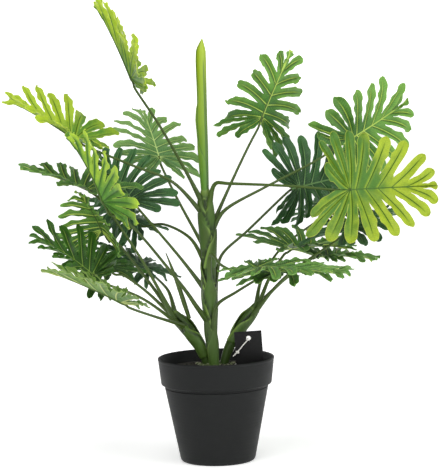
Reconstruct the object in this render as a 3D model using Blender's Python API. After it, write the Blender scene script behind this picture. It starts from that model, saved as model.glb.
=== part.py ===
"""A philodendron selloum standing in its black nursery pot.

Three stems grow out of the pot's fill: an upright trunk of overlapping leaf sheaths with a rolled new
leaf on top, and a shorter stem to each side. Every leaf stalk grows out of its stem, and carries a
deeply lobed blade. A bare card tag hangs on the right stem by a cord loop.

Tables are in millimetres and degrees. The origin is the middle of the pot's flat base, +Z is up, and
the plant is seen from -Y.
"""

import bpy
import bmesh
from math import cos, pi, radians, sin
from mathutils import Matrix, Vector

MM = 0.001
GAP = 0.3

# the pot: radius and height of each corner of its turned outline
POT_HEIGHT = 134.0
POT_RIM_RADIUS = 75.0
POT_BAND_HEIGHT = 34.0
POT_BAND_RADIUS = 71.0
POT_LEDGE = 4.0
POT_FOOT_RADIUS = 48.0
POT_FOOT_ROUND = 4.0
POT_WALL = 2.2
POT_FLOOR = 3.0
POT_SIDES = 40

# the fill: how far its edge and its middle stand above the base
FILL_EDGE_HEIGHT = 119.0
FILL_MIDDLE_HEIGHT = 124.0
SOCKET_FLOOR = 84.0

# the stems: middle line and radius, from the foot of the socket up
STEM_SIDES = 10
STALK_SIDES = 5
CENTRE_LINE = [(-4, -6, 85), (-4, -6, 124), (-5, -3, 156), (-6, 0, 194), (-6, 0, 233), (-7, 0, 278),
               (-8, 0, 323), (-9, 0, 350)]
CENTRE_RADII = [6.0, 6.0, 6.6, 7.6, 8.6, 8.8, 7.6, 6.2]
LEFT_LINE = [(-17, 5, 85), (-17, 5, 124), (-21, 5, 148), (-29, 4, 168), (-41, 3, 184), (-52, 2, 195)]
LEFT_RADII = [5.6, 5.6, 6.4, 7.4, 7.6, 4.6]
RIGHT_LINE = [(10, 6, 85), (10, 6, 124), (16, 7, 142), (29, 9, 166), (43, 12, 186), (55, 14, 202)]
RIGHT_RADII = [5.4, 5.4, 6.2, 7.2, 6.8, 4.4]
STEMS = {
    "centre_stem": (CENTRE_LINE, CENTRE_RADII),
    "left_stem": (LEFT_LINE, LEFT_RADII),
    "right_stem": (RIGHT_LINE, RIGHT_RADII),
}

# the bract on the left stem: middle line, half width and half thickness
BRACT_LINE = [(-33, 1, 184), (-39, -1, 204), (-45, -3, 224), (-53, -4, 248), (-61, -4, 270)]
BRACT_WIDTHS = [3.5, 4.6, 4.2, 2.8, 0.8]
BRACT_THICKNESSES = [3.0, 2.2, 1.6, 1.2, 0.7]

# the rolled new leaf: middle line and radius
SPEAR_SIDES = 12
SPEAR_LINE = [(-9, 0, 350.3), (-9.3, 0, 372), (-9.6, 0, 400), (-10, 0, 438), (-10.2, 0, 480),
              (-10.4, 0, 512), (-10, 0, 528), (-8.5, 0, 541)]
SPEAR_RADII = [5.2, 6.4, 6.8, 6.9, 6.8, 6.5, 4.6, 1.0]
SPEAR_LAP_WIDTHS = [0.0, 0.6, 1.6, 3.0, 1.2, 0.6, 0.3, 0.0]

# the blade and its stalk: each lobe's root on the midrib and its tip, as shares of the midrib's length
LOBES = [((0.00, 0.00), (-0.48, 0.31)), ((0.00, 0.00), (-0.57, 0.60)), ((0.00, 0.00), (-0.33, 0.66)),
         ((0.01, 0.00), (-0.06, 0.70)), ((0.07, 0.00), (0.20, 0.69)), ((0.18, 0.00), (0.44, 0.63)),
         ((0.32, 0.00), (0.66, 0.53)), ((0.48, 0.00), (0.86, 0.38)), ((0.64, 0.00), (0.99, 0.19))]
APEX_ROOT = 0.78
LOBE_HALF_WIDTH = 0.058
LOBE_SHOULDER = 0.80
SINUS_SHARES = [0.56, 0.36, 0.28, 0.25, 0.23, 0.23, 0.26, 0.32, 0.42]
BLADE_HALF_WIDTH = 0.70
BLADE_THICKNESS = 0.8
STUB_LENGTH = 8.0
STALK_APPROACH = 10.0
STALK_DIP = 7.0
STALK_TIP_RADIUS = 1.4
STALK_RADIUS = 2.1
SHEATH_RADIUS = 5.0
SHEATH_LENGTH = 34.0
WAVE_TURN = 2.4

# the leaves. stem and leaves_at: the stem that it grows from and how high it leaves it. route: places
# that the stalk goes through. junction and tip: the two ends of the midrib. roll: how far the face is
# turned about the midrib from facing up. left and right: how far each half is raised. arch: how far the
# midrib bends down. curl: how far the lobes bend down. wave: how far lobes stand out of the sheet.
# base: how long the lobes behind the junction are. base_rise: how far those lobes rise off the stalk.
LEAVES = {
    "leaf_tall_left": dict(
        stem="centre_stem", leaves_at=338, route=[(-34, -8, 376), (-64, -16, 432)],
        junction=(-99, -20, 494), tip=(-145, -10, 591),
        roll=-3, left=32, right=6, arch=10, curl=8, wave=5, base=0.8, base_rise=6, shade="lime_leaf"),
    "leaf_wide_left": dict(
        stem="centre_stem", leaves_at=322, route=[(-50, -14, 361), (-98, -24, 383)],
        junction=(-171, -30, 419), tip=(-258, -15, 470),
        roll=-3, left=20, right=27, arch=10, curl=12, wave=5, base=1.0, base_rise=6, shade="lime_leaf"),
    "leaf_front_left": dict(
        stem="centre_stem", leaves_at=196, route=[(-40, -36, 236), (-88, -100, 301), (-113, -127, 328)],
        junction=(-133, -135, 347), tip=(-175, -125, 427),
        roll=20, left=36, right=22, arch=20, curl=20, wave=6, base=1.0, base_rise=16, shade="lime_leaf"),
    "leaf_back_left": dict(
        stem="centre_stem", leaves_at=272, route=[(-44, 76, 328)],
        junction=(-70, 125, 384), tip=(-93, 185, 446),
        roll=10, left=10, right=10, arch=10, curl=20, wave=5, base=0.8, base_rise=6, shade="mid_leaf"),
    "leaf_blue_left": dict(
        stem="centre_stem", leaves_at=222, route=[(-46, 22, 264)],
        junction=(-105, 45, 336), tip=(-150, 85, 395),
        roll=-40, left=-35, right=5, arch=20, curl=20, wave=5, base=0.9, base_rise=6, shade="blue_leaf"),
    "leaf_grey_left": dict(
        stem="centre_stem", leaves_at=254, route=[(-30, 36, 284), (-64, 84, 298)],
        junction=(-106, 125, 300), tip=(-175, 150, 330),
        roll=0, left=-15, right=10, arch=30, curl=30, wave=5, base=0.8, base_rise=6, shade="blue_leaf"),
    "leaf_high_right": dict(
        stem="centre_stem", leaves_at=303, route=[(26, 26, 358), (48, 48, 400)],
        junction=(72, 80, 435), tip=(116, 125, 522),
        roll=25, left=-12, right=-60, arch=10, curl=25, wave=5, base=0.6, base_rise=6, shade="mid_leaf"),
    "leaf_curled_right": dict(
        stem="centre_stem", leaves_at=300, route=[(18, 2, 324), (69, 2, 351), (130, 14, 380)],
        junction=(182, 40, 409), tip=(258, 85, 454),
        roll=85, left=30, right=0, arch=20, curl=5, wave=6, base=1.0, base_rise=6, shade="mid_leaf"),
    "leaf_big_right": dict(
        stem="centre_stem", leaves_at=335, route=[(4, -12, 357), (25, -25, 358), (100, -62, 356)],
        junction=(171, -90, 352), tip=(278, -85, 354),
        roll=75, left=5, right=22, arch=10, curl=10, wave=4, base=1.0, base_rise=6, shade="lime_leaf"),
    "leaf_blue_right": dict(
        stem="centre_stem", leaves_at=212, route=[(4, 8, 241), (12, 12, 266), (45, 22, 294)],
        junction=(112, 30, 348), tip=(196, 75, 362),
        roll=80, left=5, right=-35, arch=20, curl=20, wave=6, base=0.75, base_rise=6, shade="blue_leaf"),
    "leaf_low_front": dict(
        stem="centre_stem", leaves_at=236,
        route=[(-5, -17, 262), (0, -34, 268), (8, -80, 262), (24, -118, 258)],
        junction=(54, -130, 263), tip=(143, -165, 261),
        roll=6, left=0, right=8, arch=5, curl=10, wave=5, base=0.6, base_rise=1, shade="mid_leaf"),
    "leaf_low_right": dict(
        stem="centre_stem", leaves_at=170, route=[(2, -14, 201), (28, -32, 221)],
        junction=(77, -65, 249), tip=(168, -100, 250),
        roll=8, left=0, right=8, arch=5, curl=10, wave=5, base=1.0, base_rise=2, shade="mid_leaf"),
    "leaf_upper_outer": dict(
        stem="left_stem", leaves_at=190, route=[(-90, -3, 258), (-130, -6, 322)],
        junction=(-158, -5, 353), tip=(-244, 20, 382),
        roll=0, left=12, right=18, arch=10, curl=10, wave=5, base=1.0, base_rise=6, shade="blue_leaf"),
    "leaf_middle_outer": dict(
        stem="left_stem", leaves_at=188, route=[(-88, 4, 238), (-120, 2, 280)],
        junction=(-142, -5, 301), tip=(-170, -50, 356),
        roll=0, left=-30, right=-35, arch=20, curl=12, wave=5, base=0.5, base_rise=6, shade="mid_leaf"),
    "leaf_deep_outer": dict(
        stem="left_stem", leaves_at=172, route=[(-90, -36, 215)],
        junction=(-152, -60, 250), tip=(-227, -75, 303),
        roll=-24, left=12, right=24, arch=20, curl=10, wave=5, base=0.5, base_rise=6, shade="deep_leaf"),
    "leaf_deep_inner": dict(
        stem="left_stem", leaves_at=182, route=[(-84, 10, 216), (-114, 20, 238)],
        junction=(-141, 30, 250), tip=(-204, 80, 286),
        roll=0, left=5, right=5, arch=20, curl=10, wave=5, base=0.7, base_rise=6, shade="deep_leaf"),
    "leaf_lowest_outer": dict(
        stem="left_stem", leaves_at=176, route=[(-72, -72, 196)],
        junction=(-112, -165, 227), tip=(-205, -185, 271),
        roll=-9, left=5, right=6, arch=10, curl=6, wave=3, base=0.5, base_rise=4, shade="light_leaf"),
    "leaf_small_back": dict(
        stem="left_stem", leaves_at=192, route=[(-60, 44, 215)],
        junction=(-90, 112, 238), tip=(-158, 145, 270),
        roll=0, left=0, right=0, arch=20, curl=15, wave=5, base=0.7, base_rise=6, shade="blue_leaf"),
    "leaf_veined_right": dict(
        stem="right_stem", leaves_at=196, route=[(70, 16, 230)],
        junction=(102, 36, 267), tip=(177, 90, 260),
        roll=0, left=28, right=14, arch=20, curl=10, wave=4, base=1.0, base_rise=6, shade="mid_leaf"),
    "leaf_thin_right": dict(
        stem="right_stem", leaves_at=198, route=[(84, 34, 222)],
        junction=(137, 80, 252), tip=(210, 125, 242),
        roll=0, left=15, right=5, arch=20, curl=10, wave=3, base=0.4, base_rise=6, shade="mid_leaf"),
    "leaf_shaded_right": dict(
        stem="right_stem", leaves_at=190, route=[(92, -2, 236)],
        junction=(173, -25, 296), tip=(238, 25, 318),
        roll=0, left=10, right=5, arch=20, curl=20, wave=6, base=1.0, base_rise=6, shade="blue_leaf"),
    "leaf_back_right": dict(
        stem="right_stem", leaves_at=199, route=[(62, 60, 226), (90, 104, 262)],
        junction=(150, 150, 304), tip=(207, 195, 345),
        roll=0, left=10, right=5, arch=20, curl=20, wave=6, base=0.5, base_rise=6, shade="blue_leaf"),
}

# the card tag: lower left corner, size, and the turn of its face from facing -Y
TAG_CORNER = (26, -22, 123.2)
TAG_SIZE = (35, 1.0, 45)
TAG_TILT = -3
TAG_HOLE = (18, 36)
TAG_HOLE_RADIUS = 2.8
STRING_RADIUS = 0.6
STRING_ROUTE = [(42.5, -24.5, 160), (36, -25, 153.5), (27.5, -25, 147.5), (22, -22.5, 145.2), (16.5, -13, 143.6),
                (10.5, -3, 142.5), (8.6, 7, 142), (12, 14.5, 143), (20, 15.5, 145.5), (28.5, 9, 149),
                (33, -3, 153.5), (39, -15, 158.5)]

# each material: base colour (linear), metallic, roughness
MATERIALS = {
    "black_plastic": ((0.024, 0.026, 0.026), 0.0, 0.55),
    "fill_mix": ((0.020, 0.018, 0.014), 0.0, 0.95),
    "stem_plastic": ((0.075, 0.150, 0.035), 0.0, 0.50),
    "lime_leaf": ((0.330, 0.560, 0.045), 0.0, 0.50),
    "mid_leaf": ((0.100, 0.280, 0.050), 0.0, 0.50),
    "blue_leaf": ((0.028, 0.100, 0.045), 0.0, 0.45),
    "deep_leaf": ((0.024, 0.110, 0.015), 0.0, 0.50),
    "light_leaf": ((0.180, 0.400, 0.070), 0.0, 0.50),
    "black_card": ((0.008, 0.008, 0.008), 0.0, 0.60),
    "white_cord": ((0.700, 0.690, 0.660), 0.0, 0.80),
}


def material(name):
    """A Principled material with the colour, metallic value and roughness from the table."""
    made = bpy.data.materials.get(name)
    if made:
        return made
    colour, metallic, roughness = MATERIALS[name]
    made = bpy.data.materials.new(name)
    made.use_nodes = True
    shader = made.node_tree.nodes["Principled BSDF"]
    shader.inputs["Base Color"].default_value = (*colour, 1.0)
    shader.inputs["Metallic"].default_value = metallic
    shader.inputs["Roughness"].default_value = roughness
    made.diffuse_color = (*colour, 1.0)
    return made


def scaled(points):
    """Table points in metres."""
    return [Vector(point) * MM for point in points]


def catmull(points, steps):
    """Places on a smooth curve through the points, with steps places to each stretch."""
    ends = [points[0] * 2 - points[1]] + list(points) + [points[-1] * 2 - points[-2]]
    places = []
    for before, start, end, after in zip(ends, ends[1:], ends[2:], ends[3:]):
        for step in range(steps):
            t = step / steps
            places.append(0.5 * (2 * start + (end - before) * t
                                 + (2 * before - 5 * start + 4 * end - after) * t * t
                                 + (3 * start - before - 3 * end + after) * t * t * t))
    return places + [points[-1].copy()]


def spread(values, steps):
    """The same stretches for a row of numbers, in straight lines."""
    places = []
    for start, end in zip(values, values[1:]):
        places += [start + (end - start) * step / steps for step in range(steps)]
    return places + [values[-1]]


def new_object(name, bm, slot, smooth=True):
    """A closed mesh as an object with its material."""
    mesh = bpy.data.meshes.new(name)
    bmesh.ops.recalc_face_normals(bm, faces=bm.faces)
    bm.to_mesh(mesh)
    bm.free()
    made = bpy.data.objects.new(name, mesh)
    bpy.context.scene.collection.objects.link(made)
    mesh.materials.append(material(slot))
    if smooth:
        mesh.shade_smooth()
        mesh.set_sharp_from_angle(angle=radians(40))
    return made


def frames(places):
    """The direction of a line at each place, with two directions square to it that don't twist."""
    ahead = [(b - a).normalized() for a, b in zip(places, places[1:])]
    tangents = [ahead[0]] + [(a + b).normalized() for a, b in zip(ahead, ahead[1:])] + [ahead[-1]]
    across = tangents[0].orthogonal().normalized()
    found = []
    for tangent in tangents:
        across = (across - tangent * across.dot(tangent)).normalized()
        found.append((tangent, across, tangent.cross(across)))
    return found


def tube(bm, places, radii, sides, section=None):
    """A closed tube along places. section gives each ring's own outline, as a function of its angle."""
    rings = []
    for index, (place, radius, (_, across, up)) in enumerate(zip(places, radii, frames(places))):
        ring = []
        for side in range(sides):
            angle = 2 * pi * side / sides
            reach = radius * (section(index, angle) if section else 1.0)
            ring.append(bm.verts.new(place + (across * cos(angle) + up * sin(angle)) * reach))
        rings.append(ring)
    for low, high in zip(rings, rings[1:]):
        for side in range(sides):
            turn = (side + 1) % sides
            bm.faces.new((low[side], low[turn], high[turn], high[side]))
    bm.faces.new(list(reversed(rings[0])))
    bm.faces.new(rings[-1])


def fuse(name, pieces):
    """One Boolean union of the pieces with the first of them, applied."""
    group = bpy.data.collections.new(name + "_pieces")
    for piece in pieces[1:]:
        bpy.context.scene.collection.objects.unlink(piece)
        group.objects.link(piece)
    union = pieces[0].modifiers.new("union", "BOOLEAN")
    union.operation = "UNION"
    union.solver = "EXACT"
    union.operand_type = "COLLECTION"
    union.collection = group
    apply_modifiers(pieces[0])
    for piece in pieces[1:]:
        bpy.data.objects.remove(piece)
    bpy.data.collections.remove(group)
    pieces[0].name = name
    return pieces[0]


def apply_modifiers(piece):
    """The evaluated mesh takes the place of the object's own, shaded smooth again."""
    evaluated = piece.evaluated_get(bpy.context.evaluated_depsgraph_get())
    made = bpy.data.meshes.new_from_object(evaluated)
    piece.modifiers.clear()
    piece.data = made
    made.shade_smooth()
    made.set_sharp_from_angle(angle=radians(40))


def pot_outline():
    """The pot's turned outline, from the middle of its underside round to the middle of its floor."""
    band_foot = POT_HEIGHT - POT_BAND_HEIGHT
    body_top = POT_BAND_RADIUS - POT_LEDGE
    outline = [(0, 0), (POT_FOOT_RADIUS - POT_FOOT_ROUND, 0), (POT_FOOT_RADIUS - 1, 1.2),
               (POT_FOOT_RADIUS + 0.4, POT_FOOT_ROUND), (body_top, band_foot - 1.5),
               (POT_BAND_RADIUS - 0.6, band_foot), (POT_BAND_RADIUS, band_foot + 1),
               (POT_RIM_RADIUS - 0.3, POT_HEIGHT - 1), (POT_RIM_RADIUS - 1, POT_HEIGHT),
               (POT_RIM_RADIUS - POT_WALL, POT_HEIGHT), (POT_BAND_RADIUS - POT_WALL, band_foot + 2),
               (body_top - POT_WALL, band_foot - 4), (POT_FOOT_RADIUS - 2, POT_FLOOR), (0, POT_FLOOR)]
    return outline


def turned(name, outline, sides, slot):
    """A closed solid turned about Z from an outline that starts and ends on the axis."""
    bm = bmesh.new()
    points = [bm.verts.new((radius * MM, 0, height * MM)) for radius, height in outline]
    edges = [bm.edges.new(pair) for pair in zip(points, points[1:])]
    bmesh.ops.spin(bm, geom=points + edges, cent=(0, 0, 0), axis=(0, 0, 1), angle=2 * pi, steps=sides,
                   use_merge=True, use_duplicate=False)
    bmesh.ops.remove_doubles(bm, verts=bm.verts, dist=1e-6)
    return new_object(name, bm, slot)


def make_pot():
    """One moulded shell with a deep band round its rim, and a flat base."""
    return turned("pot", pot_outline(), POT_SIDES, "black_plastic")


def inner_radius(height):
    """The radius of the pot's inner wall at a height."""
    band_foot = POT_HEIGHT - POT_BAND_HEIGHT
    low = (POT_FOOT_RADIUS - 2, POT_FLOOR)
    middle = (POT_BAND_RADIUS - POT_LEDGE - POT_WALL, band_foot - 4)
    knee = (POT_BAND_RADIUS - POT_WALL, band_foot + 2)
    high = (POT_RIM_RADIUS - POT_WALL, POT_HEIGHT)
    for start, end in ((low, middle), (middle, knee), (knee, high)):
        if height <= end[1]:
            return start[0] + (end[0] - start[0]) * (height - start[1]) / (end[1] - start[1])
    return high[0]


def make_fill():
    """The fill in the pot: a low mound with a plain hole for each stem."""
    band_foot = POT_HEIGHT - POT_BAND_HEIGHT
    lift = FILL_MIDDLE_HEIGHT - FILL_EDGE_HEIGHT
    outline = [(0, POT_FLOOR + GAP)]
    for height in (POT_FLOOR + GAP, band_foot - 4, band_foot + 2, FILL_EDGE_HEIGHT):
        outline.append((inner_radius(height) - 2 * GAP, height))
    for share in (0.85, 0.6, 0.35):
        outline.append((inner_radius(FILL_EDGE_HEIGHT) * share, FILL_EDGE_HEIGHT + lift * (1 - share ** 2)))
    outline.append((0, FILL_MIDDLE_HEIGHT))
    fill = turned("fill", outline, POT_SIDES, "fill_mix")
    for line, radii in STEMS.values():
        bm = bmesh.new()
        foot = Vector(line[0]) * MM
        foot.z = SOCKET_FLOOR * MM
        head = Vector((foot.x, foot.y, POT_HEIGHT * MM))
        tube(bm, [foot, head], [(radii[0] + GAP + 0.1) * MM] * 2, STEM_SIDES)
        cutter = new_object("socket", bm, "fill_mix")
        cut = fill.modifiers.new("socket", "BOOLEAN")
        cut.operation = "DIFFERENCE"
        cut.object = cutter
        apply_modifiers(fill)
        bpy.data.objects.remove(cutter)
    return fill


def stem_at(stem, height):
    """The middle line's place and the radius of a stem at a height, in millimetres."""
    line, radii = STEMS[stem]
    for low, high, start, end in zip(line, line[1:], radii, radii[1:]):
        if height <= high[2]:
            share = (height - low[2]) / (high[2] - low[2])
            return Vector(low).lerp(Vector(high), share), start + (end - start) * share
    return Vector(line[-1]), radii[-1]


def stalk_end(leaf):
    """The place where a leaf's stalk ends and the stub of its blade starts, and the way it points."""
    _, along, face, _, _ = blade_frame(leaf)
    dip = radians(leaf["arch"] / 2 + (STALK_DIP if leaf["base_rise"] > 0 else -STALK_DIP))
    junction = Vector(leaf["junction"])
    coming = (junction - Vector(leaf["route"][-1])).normalized()
    ahead = (along * cos(dip) + face * sin(dip) + coming).normalized()
    return junction - ahead * STUB_LENGTH, ahead


def make_stalk(leaf):
    """A leaf stalk: it clasps its stem as a broad sheath, leaves it and thins towards the blade."""
    height = leaf["leaves_at"]
    middle, radius = stem_at(leaf["stem"], height)
    first = Vector(leaf["route"][0])
    out = (first - middle)
    out.z = 0
    out.normalize()
    foot, foot_radius = stem_at(leaf["stem"], height - SHEATH_LENGTH)
    sheath, sheath_radius = stem_at(leaf["stem"], height - SHEATH_LENGTH * 0.4)
    end, ahead = stalk_end(leaf)
    points = [foot + out * (foot_radius - SHEATH_RADIUS + 0.5), sheath + out * (sheath_radius - 3.4),
              middle + out * (radius - 0.5)]
    points += [Vector(point) for point in leaf["route"]] + [end - ahead * STALK_APPROACH, end - ahead * GAP]
    steps = 2
    places = catmull([point * MM for point in points], steps)
    last = len(places) - 1
    places[last - 1] = places[last] - ahead * 4 * MM
    radii = []
    for index in range(len(places)):
        if index <= 2 * steps:
            share = index / (2 * steps)
            radii.append((SHEATH_RADIUS + (STALK_RADIUS + 0.4 - SHEATH_RADIUS) * share) * MM)
        else:
            share = (index - 2 * steps) / (last - 2 * steps)
            radii.append((STALK_RADIUS + 0.2 + (STALK_TIP_RADIUS - STALK_RADIUS - 0.2) * share) * MM)
    radii[0] = (SHEATH_RADIUS - 1.5) * MM
    bm = bmesh.new()
    tube(bm, places, radii, STALK_SIDES)
    return new_object("stalk", bm, "stem_plastic")


def make_stem(name):
    """A stem with its leaf stalks, and the left one's bract, joined in one body."""
    line, radii = STEMS[name]
    bm = bmesh.new()
    steps = 2
    places = catmull(scaled(line[1:]), steps)
    places.insert(0, Vector(line[0]) * MM)
    widths = [radii[0] * MM] + [radius * MM for radius in spread(radii[1:], steps)]
    tube(bm, places, widths, STEM_SIDES)
    pieces = [new_object(name, bm, "stem_plastic")]
    pieces += [make_stalk(leaf) for leaf in LEAVES.values() if leaf["stem"] == name]
    if name == "left_stem":
        pieces.append(make_bract())
    return fuse(name, pieces)


def make_bract():
    """The slim pointed bract on the left stem, flat in section."""
    bm = bmesh.new()
    places = catmull(scaled(BRACT_LINE), 2)
    widths = spread(BRACT_WIDTHS, 2)
    flats = [thick / wide for thick, wide in zip(spread(BRACT_THICKNESSES, 2), widths)]

    def section(index, angle):
        return (cos(angle) ** 2 + (sin(angle) / flats[index]) ** 2) ** -0.5

    tube(bm, places, [width * MM for width in widths], 8, section)
    return new_object("bract", bm, "stem_plastic")


def make_spear():
    """The rolled new leaf: a round quill with the lap of its rolled edge down its front left."""
    bm = bmesh.new()
    steps = 2
    places = catmull(scaled(SPEAR_LINE), steps)
    widths = spread(SPEAR_RADII, steps)
    laps = spread(SPEAR_LAP_WIDTHS, steps)

    def section(index, angle):
        lap = max(0.0, cos(angle - pi)) ** 4
        return 1.0 + lap * laps[index] / widths[index]

    tube(bm, places, [width * MM for width in widths], SPEAR_SIDES, section)
    return new_object("spear_leaf", bm, "lime_leaf")


def blade_frame(leaf):
    """The midrib's direction, the face's and the left side's, and the midrib's length in metres."""
    start = Vector(leaf["junction"]) * MM
    along = Vector(leaf["tip"]) * MM - start
    length = along.length
    along.normalize()
    face = (Vector((0, 0, 1)) - along * along.z).normalized()
    face = Matrix.Rotation(radians(leaf["roll"]), 3, along) @ face
    return start, along, face, face.cross(along), length


def blade_point(leaf, u, v, lift=0.0, offset=0.0):
    """A place on the blade: u along the midrib and v across it, as shares of the midrib's length.

    lift stands the place off the sheet, for waved lobes. offset is a height in metres above the sheet.
    """
    start, along, face, side, length = blade_frame(leaf)
    bend = radians(leaf["arch"]) + 1e-6

    def slope(at):
        return bend * (0.5 - at)

    onward = max(u, 0.0)
    reach = (sin(slope(0)) - sin(slope(onward))) / bend
    rise = (cos(slope(onward)) - cos(slope(0))) / bend
    chord = (sin(slope(0)) - sin(slope(1))) / bend
    up = face * cos(slope(onward)) - along * sin(slope(onward))
    place = start + (along * reach + face * rise) * (length / chord)
    back = slope(0) - radians(leaf["base_rise"])
    place += (along * cos(back) + face * sin(back)) * min(u, 0.0) * leaf["base"] * length
    fold = radians(leaf["left"] if v > 0 else leaf["right"])
    curl = radians(leaf["curl"]) / BLADE_HALF_WIDTH
    parts = 8
    step = abs(v) / parts
    out = 0.0
    high = 0.0
    for part in range(parts):
        angle = fold - curl * step * (part + 0.5)
        out += cos(angle) * step
        high += sin(angle) * step
    final = fold - curl * abs(v)
    sign = 1 if v > 0 else -1
    normal = up * cos(final) - side * sign * sin(final)
    place += (side * sign * out + up * high) * length
    return place + normal * (lift * length + offset), normal


def lobe_wave(leaf, side, lobe, share):
    """How far a waved lobe stands off the sheet at a share of its own length."""
    turn = WAVE_TURN * lobe + 1.3 * side + leaf["roll"] * 0.1
    return leaf["wave"] / 100 * sin(turn) * share ** 2


def lobe_points(side, lobe):
    """A lobe's outline from its lower shoulder over the tip to its upper shoulder, and its share."""
    root, tip = LOBES[lobe]
    root = Vector(root)
    reach = Vector(tip) - root
    across = Vector((reach.y, -reach.x)).normalized() * LOBE_HALF_WIDTH
    found = []
    for share, width in ((LOBE_SHOULDER, -1.0), (0.99, -0.55), (0.99, 0.55), (LOBE_SHOULDER, 1.0)):
        place = root + reach * share + across * width
        found.append((place.x, place.y * side, share))
    return found


def sinus_point(side, low, high):
    """The bottom of the cut between two lobes."""
    places = []
    for lobe in (low, high):
        root, tip = (LOBES[lobe] if lobe < len(LOBES) else ((APEX_ROOT, 0), (1.0, 0.0)))
        places.append(Vector(root).lerp(Vector(tip), SINUS_SHARES[low]))
    middle = (places[0] + places[1]) / 2
    return middle.x, middle.y * side, SINUS_SHARES[low]


def blade_layout():
    """The blade's points (u, v, side, lobe, share) and its triangles, the same on both faces."""
    points = []
    faces = []

    def add(u, v, side=0, lobe=0, share=0.0):
        points.append((u, v, side, lobe, share))
        return len(points) - 1

    roots = sorted({root[0] for root, _ in LOBES})
    middle = {root: add(root, 0.0) for root in roots}
    apex_root = add(APEX_ROOT, 0.0)
    apex = [add(1.0, -0.022), add(1.0, 0.022)]
    apex_side = {}
    notch = add(-0.03, 0.0)
    for side in (1, -1):
        last_sinus = notch
        for lobe in range(len(LOBES)):
            root = middle[LOBES[lobe][0][0]]
            ring = [add(u, v, side, lobe, share) for u, v, share in lobe_points(side, lobe)]
            u, v, share = sinus_point(side, lobe, lobe + 1)
            next_sinus = add(u, v, side, lobe, share)
            fan = [(root, last_sinus, next_sinus), (last_sinus, ring[0], ring[3]),
                   (last_sinus, ring[3], next_sinus), (ring[0], ring[1], ring[2]),
                   (ring[0], ring[2], ring[3])]
            next_root = middle[LOBES[lobe + 1][0][0]] if lobe + 1 < len(LOBES) else apex_root
            if next_root != root:
                fan.append((root, next_sinus, next_root))
            faces += [face if side > 0 else tuple(reversed(face)) for face in fan]
            last_sinus = next_sinus
        apex_side[side] = last_sinus
    left, right = apex[1], apex[0]
    faces.append((apex_root, apex_side[1], left))
    faces.append((apex_root, left, right))
    faces.append((apex_root, right, apex_side[-1]))
    return points, faces


def make_blade(name, leaf):
    """One blade of even thickness with its cut lobes, on a short stub of stalk."""
    points, faces = blade_layout()
    half = BLADE_THICKNESS / 2 * MM
    bm = bmesh.new()
    top = []
    bottom = []
    for u, v, side, lobe, share in points:
        lift = lobe_wave(leaf, side, lobe, share) if side else 0.0
        place, normal = blade_point(leaf, u, v, lift)
        top.append(bm.verts.new(place + normal * half))
        bottom.append(bm.verts.new(place - normal * half))
    rim = {}
    for face in faces:
        bm.faces.new([top[index] for index in face])
        bm.faces.new([bottom[index] for index in reversed(face)])
        for start, end in zip(face, face[1:] + face[:1]):
            if (end, start) in rim:
                del rim[(end, start)]
            else:
                rim[(start, end)] = True
    for start, end in rim:
        bm.faces.new((top[end], top[start], bottom[start]))
        bm.faces.new((top[end], bottom[start], bottom[end]))
    blade = new_object(name, bm, leaf["shade"])
    end, ahead = stalk_end(leaf)
    sunk = -0.7 * MM
    places = [end * MM, (end + ahead * (STUB_LENGTH - 2)) * MM, blade_point(leaf, 0.04, 0, 0, sunk)[0],
              blade_point(leaf, 0.14, 0, 0, sunk)[0]]
    radii = [STALK_TIP_RADIUS * MM, STALK_TIP_RADIUS * MM, 1.3 * MM, 0.8 * MM]
    bm = bmesh.new()
    tube(bm, places, radii, STALK_SIDES)
    stub = new_object("stub", bm, leaf["shade"])
    return fuse(name, [blade, stub])


def make_tag():
    """The bare card, with its punched hole, standing on the fill and leaning on the right stem."""
    width, thick, height = TAG_SIZE
    corner = Vector(TAG_CORNER)
    bm = bmesh.new()
    bmesh.ops.create_cube(bm, size=1.0)
    bmesh.ops.scale(bm, vec=Vector(TAG_SIZE) * MM, verts=bm.verts)
    bmesh.ops.translate(bm, vec=Vector((width / 2, 0, height / 2)) * MM, verts=bm.verts)
    card = new_object("hang_tag", bm, "black_card", smooth=False)
    bm = bmesh.new()
    hole = Vector((TAG_HOLE[0], 0, TAG_HOLE[1])) * MM
    tube(bm, [hole - Vector((0, 5 * MM, 0)), hole + Vector((0, 5 * MM, 0))], [TAG_HOLE_RADIUS * MM] * 2, 16)
    punch = new_object("punch", bm, "black_card")
    cut = card.modifiers.new("hole", "BOOLEAN")
    cut.operation = "DIFFERENCE"
    cut.object = punch
    apply_modifiers(card)
    bpy.data.objects.remove(punch)
    card.data.shade_flat()
    card.data.transform(Matrix.Translation(corner * MM) @ Matrix.Rotation(radians(TAG_TILT), 4, "Y"))
    return card


def make_string():
    """The closed cord loop: through the tag's hole and round the right stem."""
    route = scaled(STRING_ROUTE)
    steps = 2
    closed = catmull([route[-1]] + route + [route[0], route[1]], steps)
    places = closed[steps:-steps * 2]
    sides = 6
    count = len(places)
    bm = bmesh.new()
    rings = []
    for index, place in enumerate(places):
        ahead = (places[(index + 1) % count] - places[index - 1]).normalized()
        up = (Vector((0, 0, 1)) - ahead * ahead.z).normalized()
        across = ahead.cross(up)
        ring = []
        for side in range(sides):
            angle = 2 * pi * side / sides
            ring.append(bm.verts.new(place + (across * cos(angle) + up * sin(angle)) * STRING_RADIUS * MM))
        rings.append(ring)
    for index in range(count):
        low = rings[index]
        high = rings[(index + 1) % count]
        for side in range(sides):
            turn = (side + 1) % sides
            bm.faces.new((low[side], low[turn], high[turn], high[side]))
    return new_object("tag_string", bm, "white_cord")


def main():
    """Clears the scene and models every piece."""
    for old in list(bpy.data.objects):
        bpy.data.objects.remove(old)
    make_pot()
    make_fill()
    for name in STEMS:
        make_stem(name)
    make_spear()
    for name, leaf in LEAVES.items():
        make_blade(name, leaf)
    make_tag()
    make_string()


main()
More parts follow.
